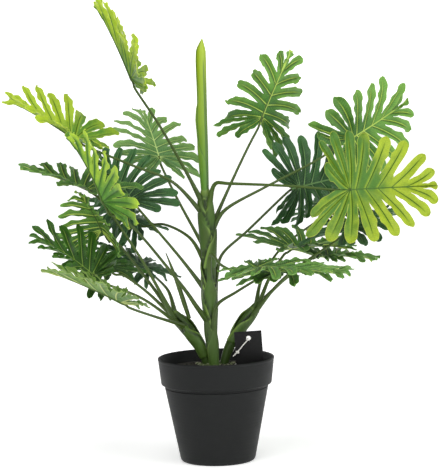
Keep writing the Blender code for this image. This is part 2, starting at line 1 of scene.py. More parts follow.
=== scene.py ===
"""Dresses a potted philodendron selloum: cut and veined leaves, clasping stalks, a nursery pot and a studio.

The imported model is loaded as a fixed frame. Each operator models one piece or one group of like pieces
round it, and the stage operator adds the floor, the lights and the camera. Tables are in millimetres and
degrees, as in the model's own source; what the operators build is in metres.
"""

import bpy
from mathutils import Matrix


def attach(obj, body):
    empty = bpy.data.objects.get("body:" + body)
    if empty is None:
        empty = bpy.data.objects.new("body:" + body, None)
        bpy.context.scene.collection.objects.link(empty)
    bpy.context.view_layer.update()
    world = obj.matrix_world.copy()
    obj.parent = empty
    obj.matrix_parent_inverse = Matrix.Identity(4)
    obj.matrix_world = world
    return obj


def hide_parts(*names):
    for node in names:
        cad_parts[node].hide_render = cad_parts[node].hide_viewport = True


bl_info = {
    "name": "Potted Philodendron Selloum",
    "version": (1, 0, 0),
    "blender": (4, 5, 0),
    "location": "View3D > Sidebar > Potted Plant",
    "description": "Models a potted selloum with cut leaves, a nursery pot and a soft studio",
    "category": "Add Mesh",
}

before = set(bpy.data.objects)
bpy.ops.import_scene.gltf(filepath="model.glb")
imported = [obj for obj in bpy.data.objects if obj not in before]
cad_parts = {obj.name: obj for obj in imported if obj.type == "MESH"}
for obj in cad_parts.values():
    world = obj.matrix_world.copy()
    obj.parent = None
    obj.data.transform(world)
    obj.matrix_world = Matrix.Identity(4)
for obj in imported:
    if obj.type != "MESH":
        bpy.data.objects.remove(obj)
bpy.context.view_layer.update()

from math import atan2, cos, exp, pi, radians, sin, sqrt
from random import Random

import bmesh
import bpy
from bpy.props import FloatProperty, FloatVectorProperty, IntProperty, PointerProperty
from mathutils import Matrix, Vector

MM = 0.001

# the pot: its heights, its radii and how thick its wall and its floor are
POT_HEIGHT = 134.0
POT_RIM_RADIUS = 75.0
POT_BAND_HEIGHT = 34.0
POT_BAND_RADIUS = 71.0
POT_LEDGE = 4.0
POT_FOOT_RADIUS = 48.0
POT_FOOT_ROUND = 4.0
POT_WALL = 2.2
POT_FLOOR = 3.0
# corners of its outline, each as a step from one place: round its foot, in a ring on its wall or its band,
# in the groove close under the band, in the ledge under the band, and over its lip
POT_FOOT = [(-10, 1.0), (-7, 0.2), (-5, 0), (-3, 0.2), (-1.4, 1.0), (-0.3, 2.2), (0.4, POT_FOOT_ROUND)]
POT_GROOVE = [(0, 0), (-0.9, 0.5), (-0.9, 1.4), (0.2, 2)]
POT_LEDGE_TOP = [(-1.6, -0.2), (-0.6, 0), (0, 0.8)]
POT_LIP = [(-0.9, -3.6), (-0.35, -3), (-0.1, -2), (-0.2, -1), (-0.7, -0.3), (-1.3, 0), (-1.9, -0.3),
           (-POT_WALL, -1)]
GROOVE_DROP = 4.6
WALL_RING_GAP = 4
BAND_RING_GAP = 6

# the fill: how far its edge and its middle stand above the base
FILL_EDGE_HEIGHT = 119.0
FILL_MIDDLE_HEIGHT = 124.0
FILL_RADIUS = 72
# how far it keeps from the pot, how far apart its rings are, and how many faces go round it
FILL_GAP = 0.6
FILL_RING_GAP = 1.5
FILL_SIDES = 120
# the mossy bits: how many stand round each stem, the largest one's radius, how far from the stem's middle
MOSS_COUNT = 20
MOSS_RADIUS = 2.2
MOSS_START = 6.5
MOSS_SPREAD = 9

# the stems: middle line and radius, from the foot of the socket up
CENTRE_LINE = [(-2.5, -6, 85), (-2.5, -6, 124), (-4.5, -3, 156), (-6, 0, 194), (-6, 0, 233), (-7, 0, 278),
               (-8, 0, 323), (-9, 0, 350)]
CENTRE_RADII = [5.2, 5.2, 6.0, 7.4, 8.6, 8.8, 7.6, 6.2]
LEFT_LINE = [(-11, 5, 85), (-11, 5, 124), (-20, 5, 148), (-32, 4, 168), (-43.5, 3, 184), (-53, 2, 195)]
LEFT_RADII = [5.6, 5.6, 6.4, 7.4, 7.6, 4.6]
RIGHT_LINE = [(10, 6, 85), (10, 6, 124), (16, 7, 142), (29, 9, 166), (43, 12, 186), (55, 14, 202)]
RIGHT_RADII = [5.4, 5.4, 6.2, 7.2, 6.8, 4.4]
STEMS = {
    "centre_stem": (CENTRE_LINE, CENTRE_RADII),
    "left_stem": (LEFT_LINE, LEFT_RADII),
    "right_stem": (RIGHT_LINE, RIGHT_RADII),
}

# the bract on the left stem: middle line, half width and half thickness
BRACT_LINE = [(-33, 1, 184), (-39, -1, 204), (-45, -3, 224), (-53, -4, 248), (-61, -4, 270)]
BRACT_WIDTHS = [3.5, 4.6, 4.2, 2.8, 0.8]
BRACT_THICKNESSES = [3.0, 2.2, 1.6, 1.2, 0.7]

# the rolled new leaf: its middle line, and how wide it is and how far its lap stands out at each height
SPEAR_LINE = [(-9, 0, 350.3), (-9.3, 0, 372), (-9.6, 0, 400), (-10, 0, 438), (-10.2, 0, 480),
              (-10.4, 0, 512), (-10, 0, 528), (-8.5, 0, 541)]
SPEAR_FOOT = (-9, 0, 340)
SPEAR_RADII = [(340, 5.0), (350, 5.6), (372, 6.0), (400, 6.3), (438, 6.3), (480, 6.6), (514, 7.0), (525, 6.6),
               (529, 5.6), (541, 0.7)]
SPEAR_LAPS = [(350, 0), (372, 0.8), (400, 1.8), (413, 1.6), (438, 3.2), (452, 2.0), (459, 0.3), (541, 0)]
SPEAR_SIDES = 48

# the blade and its stalk: each lobe's root on the midrib and its tip, as shares of the midrib's length
LOBES = [((0.00, 0.00), (-0.48, 0.31)), ((0.00, 0.00), (-0.57, 0.60)), ((0.00, 0.00), (-0.33, 0.66)),
         ((0.01, 0.00), (-0.06, 0.70)), ((0.07, 0.00), (0.20, 0.69)), ((0.18, 0.00), (0.44, 0.63)),
         ((0.32, 0.00), (0.66, 0.53)), ((0.48, 0.00), (0.86, 0.38)), ((0.64, 0.00), (0.99, 0.19))]
APEX_ROOT = 0.78
BLADE_HALF_WIDTH = 0.70
STUB_LENGTH = 8.0
STALK_APPROACH = 10.0
STALK_DIP = 7.0
STALK_TIP_RADIUS = 1.4
# the radius of the stalk that a sheath closes to, at the sheath's foot and at its top
SHEATH_RADIUS = 5.0
SHEATH_TOP_RADIUS = 3.9
WAVE_TURN = 2.4
CURL_STEPS = 8

# the leaves, a row each. stem and leaves_at: the stem that it grows from and how high it leaves it. route:
# places that the stalk goes through. junction and tip: the two ends of the midrib. roll: how far the face
# is turned about the midrib from facing up. left and right: how far each half is raised. arch: how far the
# midrib bends down. curl: how far the lobes bend down. wave: how far lobes stand out of the sheet.
# base: how long the lobes behind the junction are. base_rise: how far those lobes rise off the stalk.
LEAF_FIELDS = ("stem", "leaves_at", "route", "junction", "tip", "roll", "left", "right", "arch", "curl",
               "wave", "base", "base_rise", "shade")
LEAF_ROWS = {
    "leaf_tall_left": ("centre_stem", 338, [(-34, -8, 376), (-64, -16, 432)],
        (-99, -20, 494), (-145, -10, 591), -3, 32, 6, 10, 8, 5, 0.8, 6, "lime_leaf"),
    "leaf_wide_left": ("centre_stem", 322, [(-50, -14, 361), (-98, -24, 383)],
        (-171, -30, 419), (-258, -15, 470), -3, 20, 27, 10, 12, 5, 1.0, 6, "lime_leaf"),
    "leaf_front_left": ("centre_stem", 182,
        [(-24, -19, 203), (-41, -36, 231), (-88, -100, 301), (-113, -127, 328)],
        (-133, -135, 347), (-175, -125, 427), 20, 36, 22, 20, 20, 6, 1.0, 16, "lime_leaf"),
    "leaf_back_left": ("centre_stem", 272, [(-44, 76, 328)],
        (-70, 125, 384), (-93, 185, 446), 10, 10, 10, 10, 20, 5, 0.8, 6, "mid_leaf"),
    "leaf_blue_left": ("centre_stem", 222, [(-46, 22, 264)],
        (-105, 45, 336), (-150, 85, 395), -40, -35, 5, 20, 20, 5, 0.9, 6, "blue_leaf"),
    "leaf_grey_left": ("centre_stem", 254, [(-30, 36, 284), (-64, 84, 298)],
        (-106, 125, 300), (-175, 150, 330), 0, -15, 10, 30, 30, 5, 0.8, 6, "blue_leaf"),
    "leaf_high_right": ("centre_stem", 303, [(26, 26, 358), (48, 48, 400)],
        (67, 80, 435), (109, 125, 522), 25, -12, -60, 10, 25, 5, 0.6, 6, "mid_leaf"),
    "leaf_curled_right": ("centre_stem", 300, [(18, 2, 324), (69, 2, 351), (130, 14, 380)],
        (182, 40, 409), (258, 85, 454), 85, 30, 0, 20, 5, 6, 1.0, 6, "mid_leaf"),
    "leaf_big_right": ("centre_stem", 335, [(4, -12, 357), (25, -25, 358), (100, -62, 356)],
        (171, -90, 352), (278, -85, 354), 75, 5, 22, 10, 10, 4, 1.0, 6, "lime_leaf"),
    "leaf_blue_right": ("centre_stem", 212, [(4, 8, 241), (12, 12, 266), (45, 22, 294)],
        (112, 30, 348), (196, 75, 362), 80, 5, -35, 20, 20, 6, 0.75, 6, "blue_leaf"),
    "leaf_low_front": ("centre_stem", 236, [(-5, -17, 262), (0, -34, 268), (8, -80, 262), (24, -118, 258)],
        (54, -130, 263), (143, -165, 261), 6, 0, 8, 5, 10, 5, 0.6, 1, "mid_leaf"),
    "leaf_low_right": ("centre_stem", 170, [(2, -14, 201), (28, -32, 221)],
        (77, -65, 249), (168, -100, 250), 8, 0, 8, 5, 10, 5, 1.0, 2, "mid_leaf"),
    "leaf_upper_outer": ("left_stem", 190, [(-90, -3, 258), (-130, -6, 322)],
        (-158, -5, 353), (-244, 20, 382), 0, 12, 18, 10, 10, 5, 1.0, 6, "blue_leaf"),
    "leaf_middle_outer": ("left_stem", 188, [(-88, 4, 238), (-120, 2, 280)],
        (-142, -5, 301), (-170, -50, 356), 0, -30, -35, 20, 12, 5, 0.5, 6, "mid_leaf"),
    "leaf_deep_outer": ("left_stem", 172, [(-90, -36, 215)],
        (-152, -60, 250), (-227, -75, 303), -24, 12, 24, 20, 10, 5, 0.5, 6, "deep_leaf"),
    "leaf_deep_inner": ("left_stem", 182, [(-84, 10, 216), (-114, 20, 238)],
        (-141, 30, 250), (-204, 80, 286), 0, 5, 5, 20, 10, 5, 0.7, 6, "deep_leaf"),
    "leaf_lowest_outer": ("left_stem", 176, [(-72, -72, 196)],
        (-112, -165, 227), (-205, -185, 271), -9, 24, 6, 10, 6, 3, 0.5, 4, "light_leaf"),
    "leaf_small_back": ("left_stem", 192, [(-60, 44, 215)],
        (-90, 112, 238), (-158, 145, 270), 0, 0, 0, 20, 15, 5, 0.7, 6, "blue_leaf"),
    "leaf_veined_right": ("right_stem", 196, [(70, 16, 230)],
        (102, 36, 267), (177, 90, 260), 0, 28, 14, 20, 10, 4, 1.0, 6, "mid_leaf"),
    "leaf_thin_right": ("right_stem", 198, [(84, 34, 222)],
        (137, 80, 252), (210, 125, 242), 0, 15, 5, 20, 10, 3, 0.4, 6, "mid_leaf"),
    "leaf_shaded_right": ("right_stem", 190, [(92, -2, 236)],
        (173, -25, 296), (238, 25, 318), 0, 10, 5, 20, 20, 6, 1.0, 6, "blue_leaf"),
    "leaf_back_right": ("right_stem", 199, [(62, 60, 226), (90, 104, 262)],
        (150, 150, 304), (207, 195, 345), 0, 10, 5, 20, 20, 6, 0.5, 6, "blue_leaf"),
}
LEAVES = {name: dict(zip(LEAF_FIELDS, row)) for name, row in LEAF_ROWS.items()}

# the card tag: lower left corner, size, and the turn of its face from facing -Y
TAG_CORNER = (26, -22, 123.2)
TAG_SIZE = (35, 1.0, 45)
TAG_TILT = -3
TAG_HOLE = (18, 36)
TAG_HOLE_RADIUS = 2.8
TAG_RING_RADII = (2.75, 0.6)
TAG_BEVEL = 0.25
STRING_ROUTE = [(42.5, -24.5, 160), (36, -25.2, 153), (30, -25.4, 146), (26.9, -25.2, 142.4),
                (24.7, -23.4, 140.4), (25.2, -20.4, 138.6), (28.8, -18.4, 134.5), (27.5, -15, 128),
                (21, -9, 123), (12, -4, 122), (4, -1, 122), (1.8, 6, 122.8), (5, 13.5, 126),
                (14, 16, 132), (24, 12.5, 141), (31, 2, 150.5), (39, -15, 158.5)]

# the finer blade: shares of a lobe's length where its rows lie, and shares of its half width
ROWS = [0.0, 0.03, 0.06, 0.09, 0.12, 0.15, 0.18, 0.21, 0.24, 0.27, 0.30, 0.33, 0.36, 0.39, 0.42, 0.45,
        0.48, 0.51, 0.54, 0.57, 0.60, 0.64, 0.68, 0.72, 0.76, 0.80, 0.84, 0.875, 0.905, 0.93, 0.955, 0.975,
        0.99, 1.0]
COLUMNS = [0.0, 0.1, 0.3, 0.6, 1.0]
SINUS_ROWS = [0.57, 0.48, 0.42, 0.36, 0.30, 0.27, 0.27, 0.33, 0.42]
# how much wider than the others each lobe is, from the one behind the stalk to the one at the tip
LOBE_SHARES = [1.1, 1.22, 1.2, 1.15, 1.08, 1.0, 0.96, 0.92, 0.88, 0.85]
# how far the lobes of a leaf lean towards its tip, where that is more than usual
SWEEP = {"leaf_tall_left": 0.45, "leaf_wide_left": 0.38, "leaf_front_left": 0.15}
USUAL_SWEEP = 0.05
# how far the lobes behind the junction reach on the left and the right, where that is less than usual
BACK_SHARES = {"leaf_big_right": (0.6, 1.0), "leaf_tall_left": (0.85, 0.8),
               "leaf_lowest_outer": (0.65, 0.65)}
SINUS_ROUND = 0.09
# how many random draws each half of a blade has: one for each lobe's bow, its bend from 10 on, its length
# from 20 on, and in the blade's own draws its lean from 20 on
DRAWS = 40
# how deeply a leaf is cut, as a share of SINUS_ROWS, and how wide its lobes are, where not the usual
CUTS = {"leaf_big_right": 1.0, "leaf_wide_left": 0.9, "leaf_tall_left": 0.9, "leaf_front_left": 0.9,
        "leaf_back_left": 0.85, "leaf_deep_outer": 0.6, "leaf_high_right": 0.65}
USUAL_CUT = 0.75
LOBE_WIDTHS = {"leaf_big_right": 1.0, "leaf_wide_left": 1.0, "leaf_tall_left": 1.0, "leaf_front_left": 1.0,
               "leaf_deep_outer": 0.8, "leaf_high_right": 0.9, "leaf_curled_right": 0.95}
USUAL_LOBE_WIDTH = 0.88
TIP_START = 0.84
RIB_END = 0.86

# how far below the place where its stalk leaves each sheath starts, and the stalks that thin more slowly
SHEATH_LENGTHS = {"centre_stem": 52, "left_stem": 40, "right_stem": 40}
STOUT_STALKS = {"leaf_front_left": 1.9, "leaf_low_front": 1.3}

# how far a sheath's two edges reach round its stem, at its foot and lost by its top, as shares of half a turn
SHEATH_WRAP = (0.9, 0.62)
SHEATH_STEPS = 30
STALK_STEPS = 8
TRUNK_SIDES = 40
BRACT_SIDES = 24
RIB_STEPS = 24
RIB_SIDES = 12
RIB_RADII = (1.35, 0.35)
# how wide the bract is as it shows in the photograph, as a share of BRACT_WIDTHS
BRACT_SHARE = 0.68

# ring scars on the centre stem: height, and how far each stands out
SCARS = [(338, 0.5), (322, 0.35), (296, 0.45), (290, 0.3), (262, 0.3), (228, 0.5), (186, 0.4), (158, 0.35)]

# the cord: the middle of its knot, its short tail, and how far its strands turn in one lay
KNOT_MIDDLE = (27.2, -25.6, 142.9)
TAIL_ROUTE = [(28.6, -26.0, 144.2), (26.6, -26.3, 142.2), (24.4, -26.0, 140.1), (21.8, -25.4, 137.7)]
LOOP_LAY = 4.5
KNOT_LAY = 4.0

# the sweep, in metres: the radius of its flat part, how it bends up and how high its wall is
SWEEP_RADIUS = 12.0
SWEEP_BEND = 0.8
SWEEP_STEPS = 12
SWEEP_WALL = 2.4

# the lights: where each stands and how wide it is, in metres, and where they all look
LIGHTS = {"key": ((-0.5, -2.0, 2.2), 1.5), "fill": ((1.8, -1.6, 1.3), 1.5), "top": ((0.2, 0.1, 2.4), 1.6)}
LIGHT_AIM = (0, 0, 0.3)

# the photograph's camera: where it stands, where it looks, its lens and its tilt
CAMERA_PLACE = (8.66, -3000, 583.6)
CAMERA_AIM = (8.66, 0, 287.5)
CAMERA_LENS = 178.85
CAMERA_SENSOR = 36
CAMERA_ROLL = -1.287

# settings that many shader nodes share
BLEND = dict(out=2, data_type="RGBA")
SMOOTH = dict(interpolation_type="SMOOTHSTEP")
TIMES = dict(operation="MULTIPLY")
TIMES_PLUS = dict(operation="MULTIPLY_ADD")
# what each place on a stem or stalk knows: how pale its colour is, how much painted shade darkens it, and how
# far it has aged
TUBE_FACTS = ("pale", "dark", "aged")
# what each place on a blade knows: how far it is from the vein, the midrib and the margin in millimetres, how
# far out it is on its lobe as a share and in millimetres, how ripe its green is, and on which side of its
# vein the painted crease shade is heavier
BLADE_FACTS = ("from_vein", "from_midrib", "to_margin", "reach", "along_lobe", "tone", "lee")


def linear(code):
    """An sRGB hex colour as linear red, green and blue."""
    shades = [int(code[start:start + 2], 16) / 255 for start in (1, 3, 5)]
    return tuple(shade / 12.92 if shade <= 0.04045 else ((shade + 0.055) / 1.055) ** 2.4 for shade in shades)


def colour_prop(name, code, description):
    """A colour that the user may change, with its default as a hex code."""
    return FloatVectorProperty(name=name, description=description, subtype="COLOR", size=3, min=0, max=1,
                               default=linear(code))


def length_prop(name, size, description, precision=5):
    """A length in millimetres that the user may change."""
    return FloatProperty(name=name, description=description, default=size * MM, unit="LENGTH",
                         precision=precision)


class PLANT_PG_pot(bpy.types.PropertyGroup):
    """Sizes and colours of the pot and its fill."""

    sides: IntProperty(name="Sides", description="Faces round the pot", default=128, min=24)
    ring_step: length_prop("Moulding rings", 0.35, "Height of each faint ring on the wall")
    plastic: colour_prop("Plastic", "#0F1111", "The moulded wall")
    fill: colour_prop("Fill", "#1B1A17", "The dark mix under the stems")
    moss: colour_prop("Moss", "#49552F", "The mossy bits on the fill")
    crumb: length_prop("Crumb", 1.6, "Height of the crumbs of the fill", 4)


class PLANT_PG_stems(bpy.types.PropertyGroup):
    """Sizes and colours of the stems and stalks."""

    sides: IntProperty(name="Sides", description="Faces round a stalk", default=18, min=6)
    clasp: FloatProperty(name="Clasp", description="How far a sheath reaches round its stem, as a share of "
                         "the stem's radius", default=0.95, min=0.3, max=1.2)
    green: colour_prop("Green", "#456425", "Young stem")
    olive: colour_prop("Olive", "#41561E", "Stalk")
    shadow: colour_prop("Shadow", "#14210B", "Creases between sheaths")
    scar: colour_prop("Scar", "#8CAC4C", "Pale edges of the sheaths and the ring scars")


class PLANT_PG_leaves(bpy.types.PropertyGroup):
    """Sizes and colours of the blades."""

    thickness: length_prop("Thickness", 0.7, "Thickness of a blade")
    half_width: FloatProperty(name="Lobe half width", description="Share of the midrib's length",
                              default=0.070, min=0.02, max=0.09)
    pleat: length_prop("Pleat", 2.8, "How far a lobe's edges stand above its vein")
    ruffle: length_prop("Ruffle", 1.1, "Height of the waves along a lobe's edge")
    ruffle_length: length_prop("Ruffle length", 17, "Length of one wave", 4)
    twist: length_prop("Twist", 1.8, "How far a lobe's two margins lean apart")
    droop: length_prop("Droop", 3.0, "How far lobe tips bend off the sheet", 4)


class PLANT_PG_tag(bpy.types.PropertyGroup):
    """Sizes and colours of the hang tag and its cord."""

    card: colour_prop("Card", "#0A0A0B", "The bare card")
    paper: colour_prop("Paper", "#F0F0EC", "The punched hole's pale edge")
    cord: colour_prop("Cord", "#E4E2DC", "The cotton cord")
    strand: length_prop("Strand", 0.36, "Radius of each of the cord's strands")


class PLANT_PG_stage(bpy.types.PropertyGroup):
    """The studio."""

    key_power: FloatProperty(name="Key light", description="Power of the large front light", default=40.0,
                             unit="POWER")
    fill_power: FloatProperty(name="Fill light", description="Power of the light from the right",
                              default=23.0, unit="POWER")
    top_power: FloatProperty(name="Top light", description="Power of the light from above", default=15.0,
                             unit="POWER")
    sky: FloatProperty(name="Sky", description="Strength of the even white surround", default=0.26)
    near_glow: FloatProperty(name="Near glow", description="Light that the sweep gives off by the pot",
                             default=0.45)
    far_glow: FloatProperty(name="Far glow", description="Light that the sweep gives off at its back",
                            default=0.75)
    floor: colour_prop("Floor", "#FAFAFA", "Pale sweep")


def set_sockets(tree, node, sockets):
    """Gives sockets, by name or in the node's own order, a value or the output that they are linked from."""
    for name, value in sockets.items() if isinstance(sockets, dict) else enumerate(sockets):
        if isinstance(value, bpy.types.NodeSocket):
            tree.links.new(value, node.inputs[name])
        else:
            node.inputs[name].default_value = value


def add_node(tree, kind, sockets=(), out=0, **settings):
    """Adds one node with its settings and its sockets, and gives back one of its outputs."""
    node = tree.nodes.new("ShaderNode" + kind)
    for name, value in settings.items():
        setattr(node, name, value)
    set_sockets(tree, node, sockets)
    return node.outputs[out]


def new_material(name):
    """A material with nothing but its shader, its tree and the Object coordinates in it."""
    made = bpy.data.materials.get(name)
    if made:
        bpy.data.materials.remove(made)
    made = bpy.data.materials.new(name)
    made.use_nodes = True
    return made, made.node_tree, add_node(made.node_tree, "TexCoord", out="Object")


def finish_material(made, sockets):
    """Gives the material's shader its sockets."""
    set_sockets(made.node_tree, made.node_tree.nodes["Principled BSDF"], sockets)
    return made


# Moulded polyethylene leaf: a satin skin with pressed veins. What it gives the eye is a soft broad sheen,
# a colour that runs from the base to the lobe tips, fine veins, painted shade in the creases beside them and
# a painted highlight along the margins.
# the crease colour is painted shade beside the veins, and the margin colour is a painted highlight along the
# edges
LEAF_COLOURS = {
    "lime_leaf": dict(base="#4B7B27", tip="#9DB627", vein="#3E661A", crease_shade="#8BA82B", margin="#BECD4D"),
    "broad_leaf": dict(base="#436D21", tip="#8EA221", vein="#375A16", crease_shade="#7D9525", margin="#ACB643"),
    "fresh_leaf": dict(base="#518324", tip="#97B730", vein="#315A16", crease_shade="#3F6F1D", margin="#AEC347"),
    "mid_leaf": dict(base="#376727", tip="#608F37", vein="#A6C053", crease_shade="#224418", margin="#87AA4F"),
    "shade_leaf": dict(base="#305A24", tip="#517F35", vein="#A1BB55", crease_shade="#1B3810", margin="#7A9D4A"),
    "soft_leaf": dict(base="#4B753C", tip="#6E954D", vein="#A9C272", crease_shade="#33582E", margin="#92AE64"),
    "blue_leaf": dict(base="#264527", tip="#376432", vein="#668B52", crease_shade="#17321A", margin="#577952"),
    "deep_leaf": dict(base="#1F4210", tip="#305E15", vein="#72903B", crease_shade="#132F08", margin="#4E7228"),
    "light_leaf": dict(base="#426828", tip="#628336", vein="#A0AD63", crease_shade="#385C20", margin="#8DA357"),
}
# the leaves whose green lies between those of the slots; one of these greens is a darker copy of mid_leaf,
# painted shade on the leaves that wear it
OWN_COLOURS = {"leaf_big_right": "broad_leaf", "leaf_front_left": "fresh_leaf", "leaf_back_left": "soft_leaf",
               "leaf_upper_outer": "shade_leaf", "leaf_low_right": "shade_leaf",
               "leaf_low_front": "shade_leaf", "leaf_veined_right": "shade_leaf",
               "leaf_thin_right": "shade_leaf"}
# how much greener a leaf is on its left half, behind its middle
GREENER_LEFT = {"leaf_big_right": 0.42}


def leaf_material(kind):
    """Moulded polyethylene leaf in one of the plant's greens."""
    shades = {part: (*linear(code), 1) for part, code in LEAF_COLOURS[kind].items()}
    made, tree, place = new_material("moulded_" + kind)
    facts = {name: add_node(tree, "Attribute", out="Fac", attribute_name=name) for name in BLADE_FACTS}
    # colour drifts over patches of about 25 mm, and is speckled at about 2 mm
    patches = add_node(tree, "TexNoise", {"Vector": place, "Scale": 40.0, "Detail": 3.0})
    speckle = add_node(tree, "TexNoise", {"Vector": place, "Scale": 500.0, "Detail": 2.0})
    drift = add_node(tree, "Math", (patches, -0.5), operation="ADD")
    tone = add_node(tree, "Math", (drift, 0.9, facts["tone"]), **TIMES_PLUS)
    ripe = add_node(tree, "MapRange", (tone, 0.15, 0.65), **SMOOTH)
    skin = add_node(tree, "Mix", {0: ripe, 6: shades["base"], 7: shades["tip"]}, **BLEND)
    # the veins fade out before the lobe's tip
    fade = add_node(tree, "MapRange", (facts["reach"], 0.68, 0.92, 1.0, 0.0))
    # painted crease shade: a soft band of the crease colour about 3 mm wide beside a vein, heavier on the
    # vein's rear side
    band = add_node(tree, "MapRange", (facts["from_vein"], 0.7, 4.6, 1.0, 0.0), **SMOOTH)
    shade_side_weight = add_node(tree, "MapRange", {"Value": facts["lee"], "To Min": 0.4, "To Max": 1.0})
    sided = add_node(tree, "Math", (band, shade_side_weight), **TIMES)
    band_faded = add_node(tree, "Math", (sided, fade), **TIMES)
    with_painted_shade = add_node(tree, "Mix", {0: band_faded, 6: skin, 7: shades["crease_shade"]}, **BLEND)
    # ribs: faint side veins 3.2 mm apart, slanting off the lobe's vein
    slant = add_node(tree, "Math", (facts["from_vein"], -0.9, facts["along_lobe"]), **TIMES_PLUS)
    phase = add_node(tree, "Math", (slant, 2 * pi / 3.2), **TIMES)
    ribs = add_node(tree, "Math", (phase,), operation="SINE")
    rib_mask = add_node(tree, "MapRange", (ribs, 0.6, 1.0, 0.0, 0.16))
    ribbed = add_node(tree, "Mix", {0: rib_mask, 6: with_painted_shade, 7: shades["vein"]}, **BLEND)
    # vein: a line about 1 mm wide down each lobe and down the midrib
    line = add_node(tree, "MapRange", (facts["from_vein"], 0.4, 1.05, 1.0, 0.0), **SMOOTH)
    line_faded = add_node(tree, "Math", (line, fade), **TIMES)
    midrib = add_node(tree, "MapRange", (facts["from_midrib"], 0.5, 1.3, 0.9, 0.0), **SMOOTH)
    veins = add_node(tree, "Math", (line_faded, midrib), operation="MAXIMUM")
    veined = add_node(tree, "Mix", {0: veins, 6: ribbed, 7: shades["vein"]}, **BLEND)
    # painted highlight: a paler edge less than 1 mm wide along each margin, standing for the sheen where the
    # margins curl
    rim = add_node(tree, "MapRange", (facts["to_margin"], 0.1, 0.9, 0.6, 0.0))
    edged = add_node(tree, "Mix", {0: rim, 6: veined, 7: shades["margin"]}, **BLEND)
    dots = add_node(tree, "MapRange", (speckle, 0.3, 0.7, 0.9, 1.1))
    worn = add_node(tree, "HueSaturation", {"Color": edged, "Value": dots})
    gloss = add_node(tree, "MapRange", (patches, 0.3, 0.7, 0.46, 0.6))
    # relief: veins pressed 0.25 mm deep, ribs and grain much finer
    pressed = add_node(tree, "Math", (veins, -1.0, rib_mask), **TIMES_PLUS)
    grain = add_node(tree, "Math", (speckle, 0.25, pressed), **TIMES_PLUS)
    relief = add_node(tree, "Bump", {"Height": grain, "Distance": 0.25 * MM, "Strength": 0.6})
    return finish_material(made, {"Base Color": worn, "Roughness": gloss, "Normal": relief, "IOR": 1.5,
                                  "Specular IOR Level": 0.28})


def stem_material(name):
    """Moulded polyethylene stem: satin, streaked along its length, pale at the edges of its sheaths, and
    darkened with painted shade in its creases, at its sheaths' edges and feet, and over the trunk.
    """
    settings = bpy.context.scene.plant_stems
    young, old, scar, shadow = ((*colour, 1) for colour in (settings.green, settings.olive, settings.scar,
                                                            settings.shadow))
    made, tree, place = new_material(name)
    pale, dark, aged = (add_node(tree, "Attribute", out="Fac", attribute_name=key) for key in TUBE_FACTS)
    # streaks about 1.5 mm wide and ten times as long
    stretch = add_node(tree, "Mapping", {"Vector": place, "Scale": (650.0, 650.0, 60.0)})
    streaks = add_node(tree, "TexNoise", {"Vector": stretch, "Scale": 1.0, "Detail": 3.0})
    patches = add_node(tree, "TexNoise", {"Vector": place, "Scale": 55.0, "Detail": 3.0})
    mixed = add_node(tree, "Math", (streaks, 0.5, patches), **TIMES_PLUS)
    riper = add_node(tree, "Math", (aged, 0.7, mixed), **TIMES_PLUS)
    age = add_node(tree, "MapRange", (riper, 0.62, 1.2))
    skin = add_node(tree, "Mix", {0: age, 6: young, 7: old}, **BLEND)
    edged = add_node(tree, "Mix", {0: pale, 6: skin, 7: scar}, **BLEND)
    # painted shade: the dark attribute mixes in the shadow colour
    with_painted_shade = add_node(tree, "Mix", {0: dark, 6: edged, 7: shadow}, **BLEND)
    relief = add_node(tree, "Bump", {"Height": streaks, "Distance": 0.3 * MM, "Strength": 0.5})
    return finish_material(made, {"Base Color": with_painted_shade, "Normal": relief, "Roughness": 0.45, "IOR": 1.5,
                                  "Specular IOR Level": 0.3})


def spear_material():
    """Moulded polyethylene new leaf: lime at its tip, fresh green below, with fine lines along it, and
    painted shade at the wrap's edge, down a painted fold line and over its right side.
    """
    fresh, lime, spear_shade = ((*linear(code), 1) for code in ("#497616", "#8FA51A", "#305811"))
    made, tree, place = new_material("moulded_new_leaf")
    height = add_node(tree, "SeparateXYZ", (place,), out="Z")
    lap = add_node(tree, "Attribute", out="Fac", attribute_name="dark")
    climb = add_node(tree, "MapRange", (height, 0.36, 0.53))
    stretch = add_node(tree, "Mapping", {"Vector": place, "Scale": (900.0, 900.0, 45.0)})
    lines = add_node(tree, "TexNoise", {"Vector": stretch, "Scale": 1.0, "Detail": 2.0})
    shift = add_node(tree, "Math", (lines, 0.35, climb), **TIMES_PLUS)
    ripe = add_node(tree, "MapRange", (shift, 0.2, 1.15))
    skin = add_node(tree, "Mix", {0: ripe, 6: fresh, 7: lime}, **BLEND)
    # painted shade: the dark attribute mixes in the darkest green
    spear_shaded = add_node(tree, "Mix", {0: lap, 6: skin, 7: spear_shade}, **BLEND)
    relief = add_node(tree, "Bump", {"Height": lines, "Distance": 0.2 * MM, "Strength": 0.4})
    return finish_material(made, {"Base Color": spear_shaded, "Normal": relief, "Roughness": 0.42, "IOR": 1.5})


def pot_material():
    """Moulded polypropylene: matte charcoal with a fine eroded grain and faint flow marks."""
    made, tree, place = new_material("moulded_pot_plastic")
    # grain of 0.4 mm, drawn a little coarser than the real 0.1 mm so that it shows
    grain = add_node(tree, "TexNoise", {"Vector": place, "Scale": 2500.0, "Detail": 2.0})
    # flow marks: cloudy patches about 40 mm across, wider than they are high
    spread = add_node(tree, "Mapping", {"Vector": place, "Scale": (18.0, 18.0, 45.0)})
    clouds = add_node(tree, "TexNoise", {"Vector": spread, "Scale": 1.0, "Detail": 5.0})
    drift = add_node(tree, "MapRange", (clouds, 0.3, 0.7, 0.88, 1.14))
    plastic = (*bpy.context.scene.plant_pot.plastic, 1)
    skin = add_node(tree, "HueSaturation", {"Color": plastic, "Value": drift})
    rough = add_node(tree, "MapRange", (clouds, 0.3, 0.7, 0.5, 0.6))
    relief = add_node(tree, "Bump", {"Height": grain, "Distance": 0.08 * MM, "Strength": 0.5})
    return finish_material(made, {"Base Color": skin, "Roughness": rough, "Normal": relief, "IOR": 1.49,
                                  "Specular IOR Level": 0.22})


